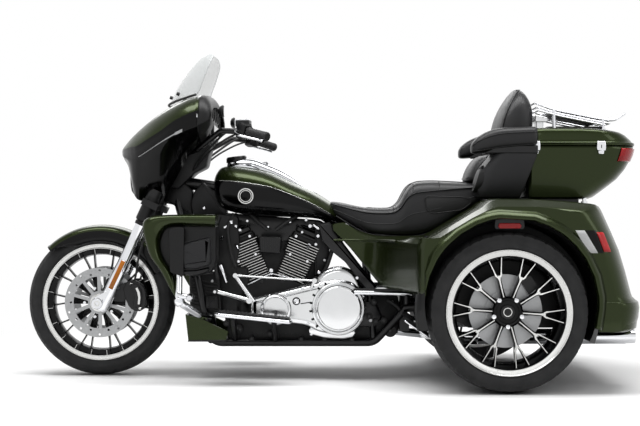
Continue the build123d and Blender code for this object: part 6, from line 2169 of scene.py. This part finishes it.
class Rack:
    """Chrome luggage rack: stacked side rails, lengthwise bars, posts, and a black base plate and pad that
    are partly real black parts and partly painted shade under and between the rails.
    """

    def build(self) -> None:
        """Makes the rack."""
        rails = Shape()
        upper = [(-877, 1171), (-952, 1142), (-1160, 1101), (-1214, 1096), (-1256, 1124)]
        for y, line, r in ((150, upper, 5.2),
                           (170, [(-882, 1151), (-968, 1125), (-1158, 1087), (-1188, 1083)], 4.6),
                           (178, [(-888, 1137), (-974, 1114), (-1166, 1075)], 4.0)):
            rails.tube([(x, y, z) for x, z in line], r, 14, bend=22)
            rails.tube([(line[0][0], -y, line[0][1]), (line[0][0], y, line[0][1])], r, 14)
            rails.tube([(line[-1][0], -y, line[-1][1]), (line[-1][0], y, line[-1][1])], r, 14)
        for x, z in ((-952, 1142), (-1158, 1101)):
            for y in (148, 172):
                rails.tube([(x, y, z), (x - 3, y, 1058)], 6.0, 14)
            rails.tube([(x - 3, 140, 1058), (x - 3, 184, 1058)], 8, 14)
            rails.tube([(x, 146, z - 20), (x, 184, z - 22)], 5, 12)
            rails.tube([(x, -150, z), (x, 150, z)], 5, 14)
        make(rails.both(), "rack_rails", CHROME, "luggage_rack", body="lid", sharp=50)
        bar = Shape().tube([(-952, -120, 1145), (-1160, -120, 1104), (-1212, -120, 1098),
                            (-1250, -120, 1124)], 3.6, 12, bend=20)
        repeated(bar, "rack_bars", CHROME, 7, Spread.LINE, body="lid", step=(0, 40, 0))
        # The black base plate on the lid is partly a real plate and partly painted shade under the rack.
        plate = Shape().slab(rounded([(-924, -176), (-1160, -176), (-1160, 176), (-924, 176)], 24), 1060,
                             1070, plane="xy")
        make(plate, "rack_base", PLASTIC, body="lid", bevel=3)
        # The rubber pad under the bars is partly dark slats and partly painted shade between the rails.
        pad = Shape().slab([(-958, 1126), (-1156, 1088), (-1156, 1096), (-958, 1135)], -138, 138)
        make(pad, "rack_pad", RUBBER, body="lid", bevel=2)
        mount = Shape().slab(rounded([(-884, 1096), (-938, 1094), (-940, 1112), (-886, 1124)], 5), -104,
                             104)
        mount.slab(rounded([(-896, 1060), (-926, 1060), (-926, 1100), (-896, 1100)], 5), -60, 60)
        make(mount, "rack_mount", POLISHED, body="lid", bevel=2.5)


# Stage


@dataclass
class Studio:
    """Pale floor, soft lamps and the camera at the photograph's place."""

    camera_place: Point = (0.0393, 5.8, 0.703)
    lens: float = 74.7

    def build(self) -> None:
        """Makes the camera, lamps, floor and world."""
        camera = bpy.data.cameras.new("camera")
        camera.lens, camera.sensor_width, camera.clip_end = self.lens, 36.0, 200
        seat = bpy.data.objects.new("camera", camera)
        seat.location, seat.rotation_euler = self.camera_place, (math.pi / 2, 0, math.pi)
        bpy.context.scene.collection.objects.link(seat)
        bpy.context.scene.camera = seat
        bpy.context.scene.view_settings.view_transform = "Standard"
        # x, y, z, turn about X, turn about Y, width, depth, watts
        for k, (x, y, z, tilt, roll, wide, deep, watts) in enumerate((
                (0.0, 0.5, 4.4, 0.0, 0.0, 6.0, 1.6, 250),
                (1.2, 4.6, 3.4, -52.0, 8.0, 3.0, 1.0, 16),
                (-3.8, 2.2, 2.6, -30.0, -55.0, 2.2, 1.2, 20),
                (0.0, -4.6, 3.2, 56.0, 0.0, 5.0, 1.6, 60))):
            lamp = bpy.data.lights.new(f"lamp_{k}", "AREA")
            lamp.shape, lamp.size, lamp.size_y, lamp.energy = "RECTANGLE", wide, deep, watts
            holder = bpy.data.objects.new(f"lamp_{k}", lamp)
            holder.location = (x, y, z)
            holder.rotation_euler = (math.radians(tilt), math.radians(roll), 0)
            bpy.context.scene.collection.objects.link(holder)
        self.floor()
        self.world()

    def floor(self) -> None:
        """A wide pale floor that shows white and keeps the shadow."""
        mesh = bpy.data.meshes.new("floor")
        mesh.from_pydata([(-60, -60, 0), (60, -60, 0), (60, 60, 0), (-60, 60, 0)], [], [(0, 1, 2, 3)])
        material = bpy.data.materials.new("pale_floor")
        material.use_nodes = True
        tree = material.node_tree
        tree.nodes.clear()
        path = add_node(tree, "ShaderNodeLightPath").outputs
        seen = add_node(tree, "ShaderNodeMath", {0: path["Is Camera Ray"], 1: path["Is Glossy Ray"]},
                        operation="MAXIMUM")
        seen = add_node(tree, "ShaderNodeMath", {0: seen.outputs[0], 1: path["Is Transmission Ray"]},
                        operation="MAXIMUM")
        tint = add_node(tree, "ShaderNodeMix", {0: seen.outputs[0]}, data_type="RGBA")
        tint.inputs[6].default_value, tint.inputs[7].default_value = linear("#787878"), linear("#f4f4f4")
        matt = add_node(tree, "ShaderNodeBsdfDiffuse", {"Color": tint.outputs[2]})
        white = add_node(tree, "ShaderNodeEmission", inputs={"Color": (1, 1, 1, 1), "Strength": 1.0})
        place = add_node(tree, "ShaderNodeTexCoord").outputs["Object"]
        far = add_node(tree, "ShaderNodeVectorMath", {0: place}, operation="LENGTH").outputs["Value"]
        fade = add_node(tree, "ShaderNodeMapRange", {0: far}, interpolation_type="SMOOTHSTEP",
                        inputs={1: 1.35, 2: 2.7}).outputs[0]
        share = add_node(tree, "ShaderNodeMath", {0: fade, 1: seen.outputs[0]},
                         operation="MULTIPLY").outputs[0]
        mix = add_node(tree, "ShaderNodeMixShader", {0: share, 1: matt.outputs[0], 2: white.outputs[0]})
        out = add_node(tree, "ShaderNodeOutputMaterial")
        tree.links.new(mix.outputs[0], out.inputs[0])
        mesh.materials.append(material)
        plane = bpy.data.objects.new("floor", mesh)
        bpy.context.scene.collection.objects.link(plane)

    def world(self) -> None:
        """White to the camera, and to everything else a studio bright above and dim at the sides."""
        world = bpy.data.worlds.new("studio")
        bpy.context.scene.world = world
        world.use_nodes = True
        tree = world.node_tree
        tree.nodes.clear()
        path = add_node(tree, "ShaderNodeLightPath").outputs
        way = add_node(tree, "ShaderNodeTexCoord").outputs["Generated"]
        height = add_node(tree, "ShaderNodeSeparateXYZ", {0: way}).outputs["Z"]
        ramp = add_node(tree, "ShaderNodeValToRGB", {0: height})
        low, high = ramp.color_ramp.elements
        low.position, low.color = 0.0, (0.03, 0.03, 0.03, 1)
        high.position, high.color = 0.75, (1, 1, 1, 1)
        soft = add_node(tree, "ShaderNodeBackground", {"Color": ramp.outputs[0]}, inputs={"Strength": 0.6})
        plain = add_node(tree, "ShaderNodeMath",
                         {0: path["Is Camera Ray"], 1: path["Is Transmission Ray"]}, operation="MAXIMUM")
        seen = add_node(tree, "ShaderNodeMath", {0: plain.outputs[0], 1: path["Is Glossy Ray"]},
                        operation="MAXIMUM")
        tone = add_node(tree, "ShaderNodeMapRange", {0: height}, inputs={1: 0.3, 2: 0.8, 3: 1.0, 4: 0.3})
        tone = add_node(tree, "ShaderNodeMath", {0: tone.outputs[0], 1: plain.outputs[0]},
                        operation="MAXIMUM")
        white = add_node(tree, "ShaderNodeBackground", {"Strength": tone.outputs[0]},
                         inputs={"Color": (1, 1, 1, 1)})
        mix = add_node(tree, "ShaderNodeMixShader", {0: seen.outputs[0], 1: soft.outputs[0],
                                                     2: white.outputs[0]})
        tree.links.new(mix.outputs[0], add_node(tree, "ShaderNodeOutputWorld").inputs[0])


def main() -> None:
    """Builds every sub-assembly in order."""
    logging.basicConfig(level=logging.INFO, format="%(name)s: %(message)s")
    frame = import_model()
    Studio().build()
    FrontWheel().build()
    RearWheel(Side.LEFT).build()
    RearWheel(Side.RIGHT).build()
    for assembly in (FrontFender(), Fork(), Fairing(), Controls(), Tank(), RearBody(), LuggageCase(),
                     Saddle(), Backrest(), Engine(), FootControls(), LegShields(), Innards(), Rack()):
        assembly.build()
    for finish, nodes in ((CHROME, ("guard_tubes", "exhaust_pipes", "silencers")),
                          (GREEN, ("chin_panel",)), (PLASTIC, ("plate_holder",)),
                          (MACHINED, ("front_axle",)), (WRINKLE, ("crankcase", "oil_cooler")),
                          (DISC, ("front_discs", "rear_disc_left", "rear_disc_right")),
                          (SATIN, ("trunk", "frame", "handlebar", "rear_axle", "dampers", "fork_clamps"))):
        for node in nodes:
            dress(node, finish, frame)


if __name__ == "__main__":
    main()
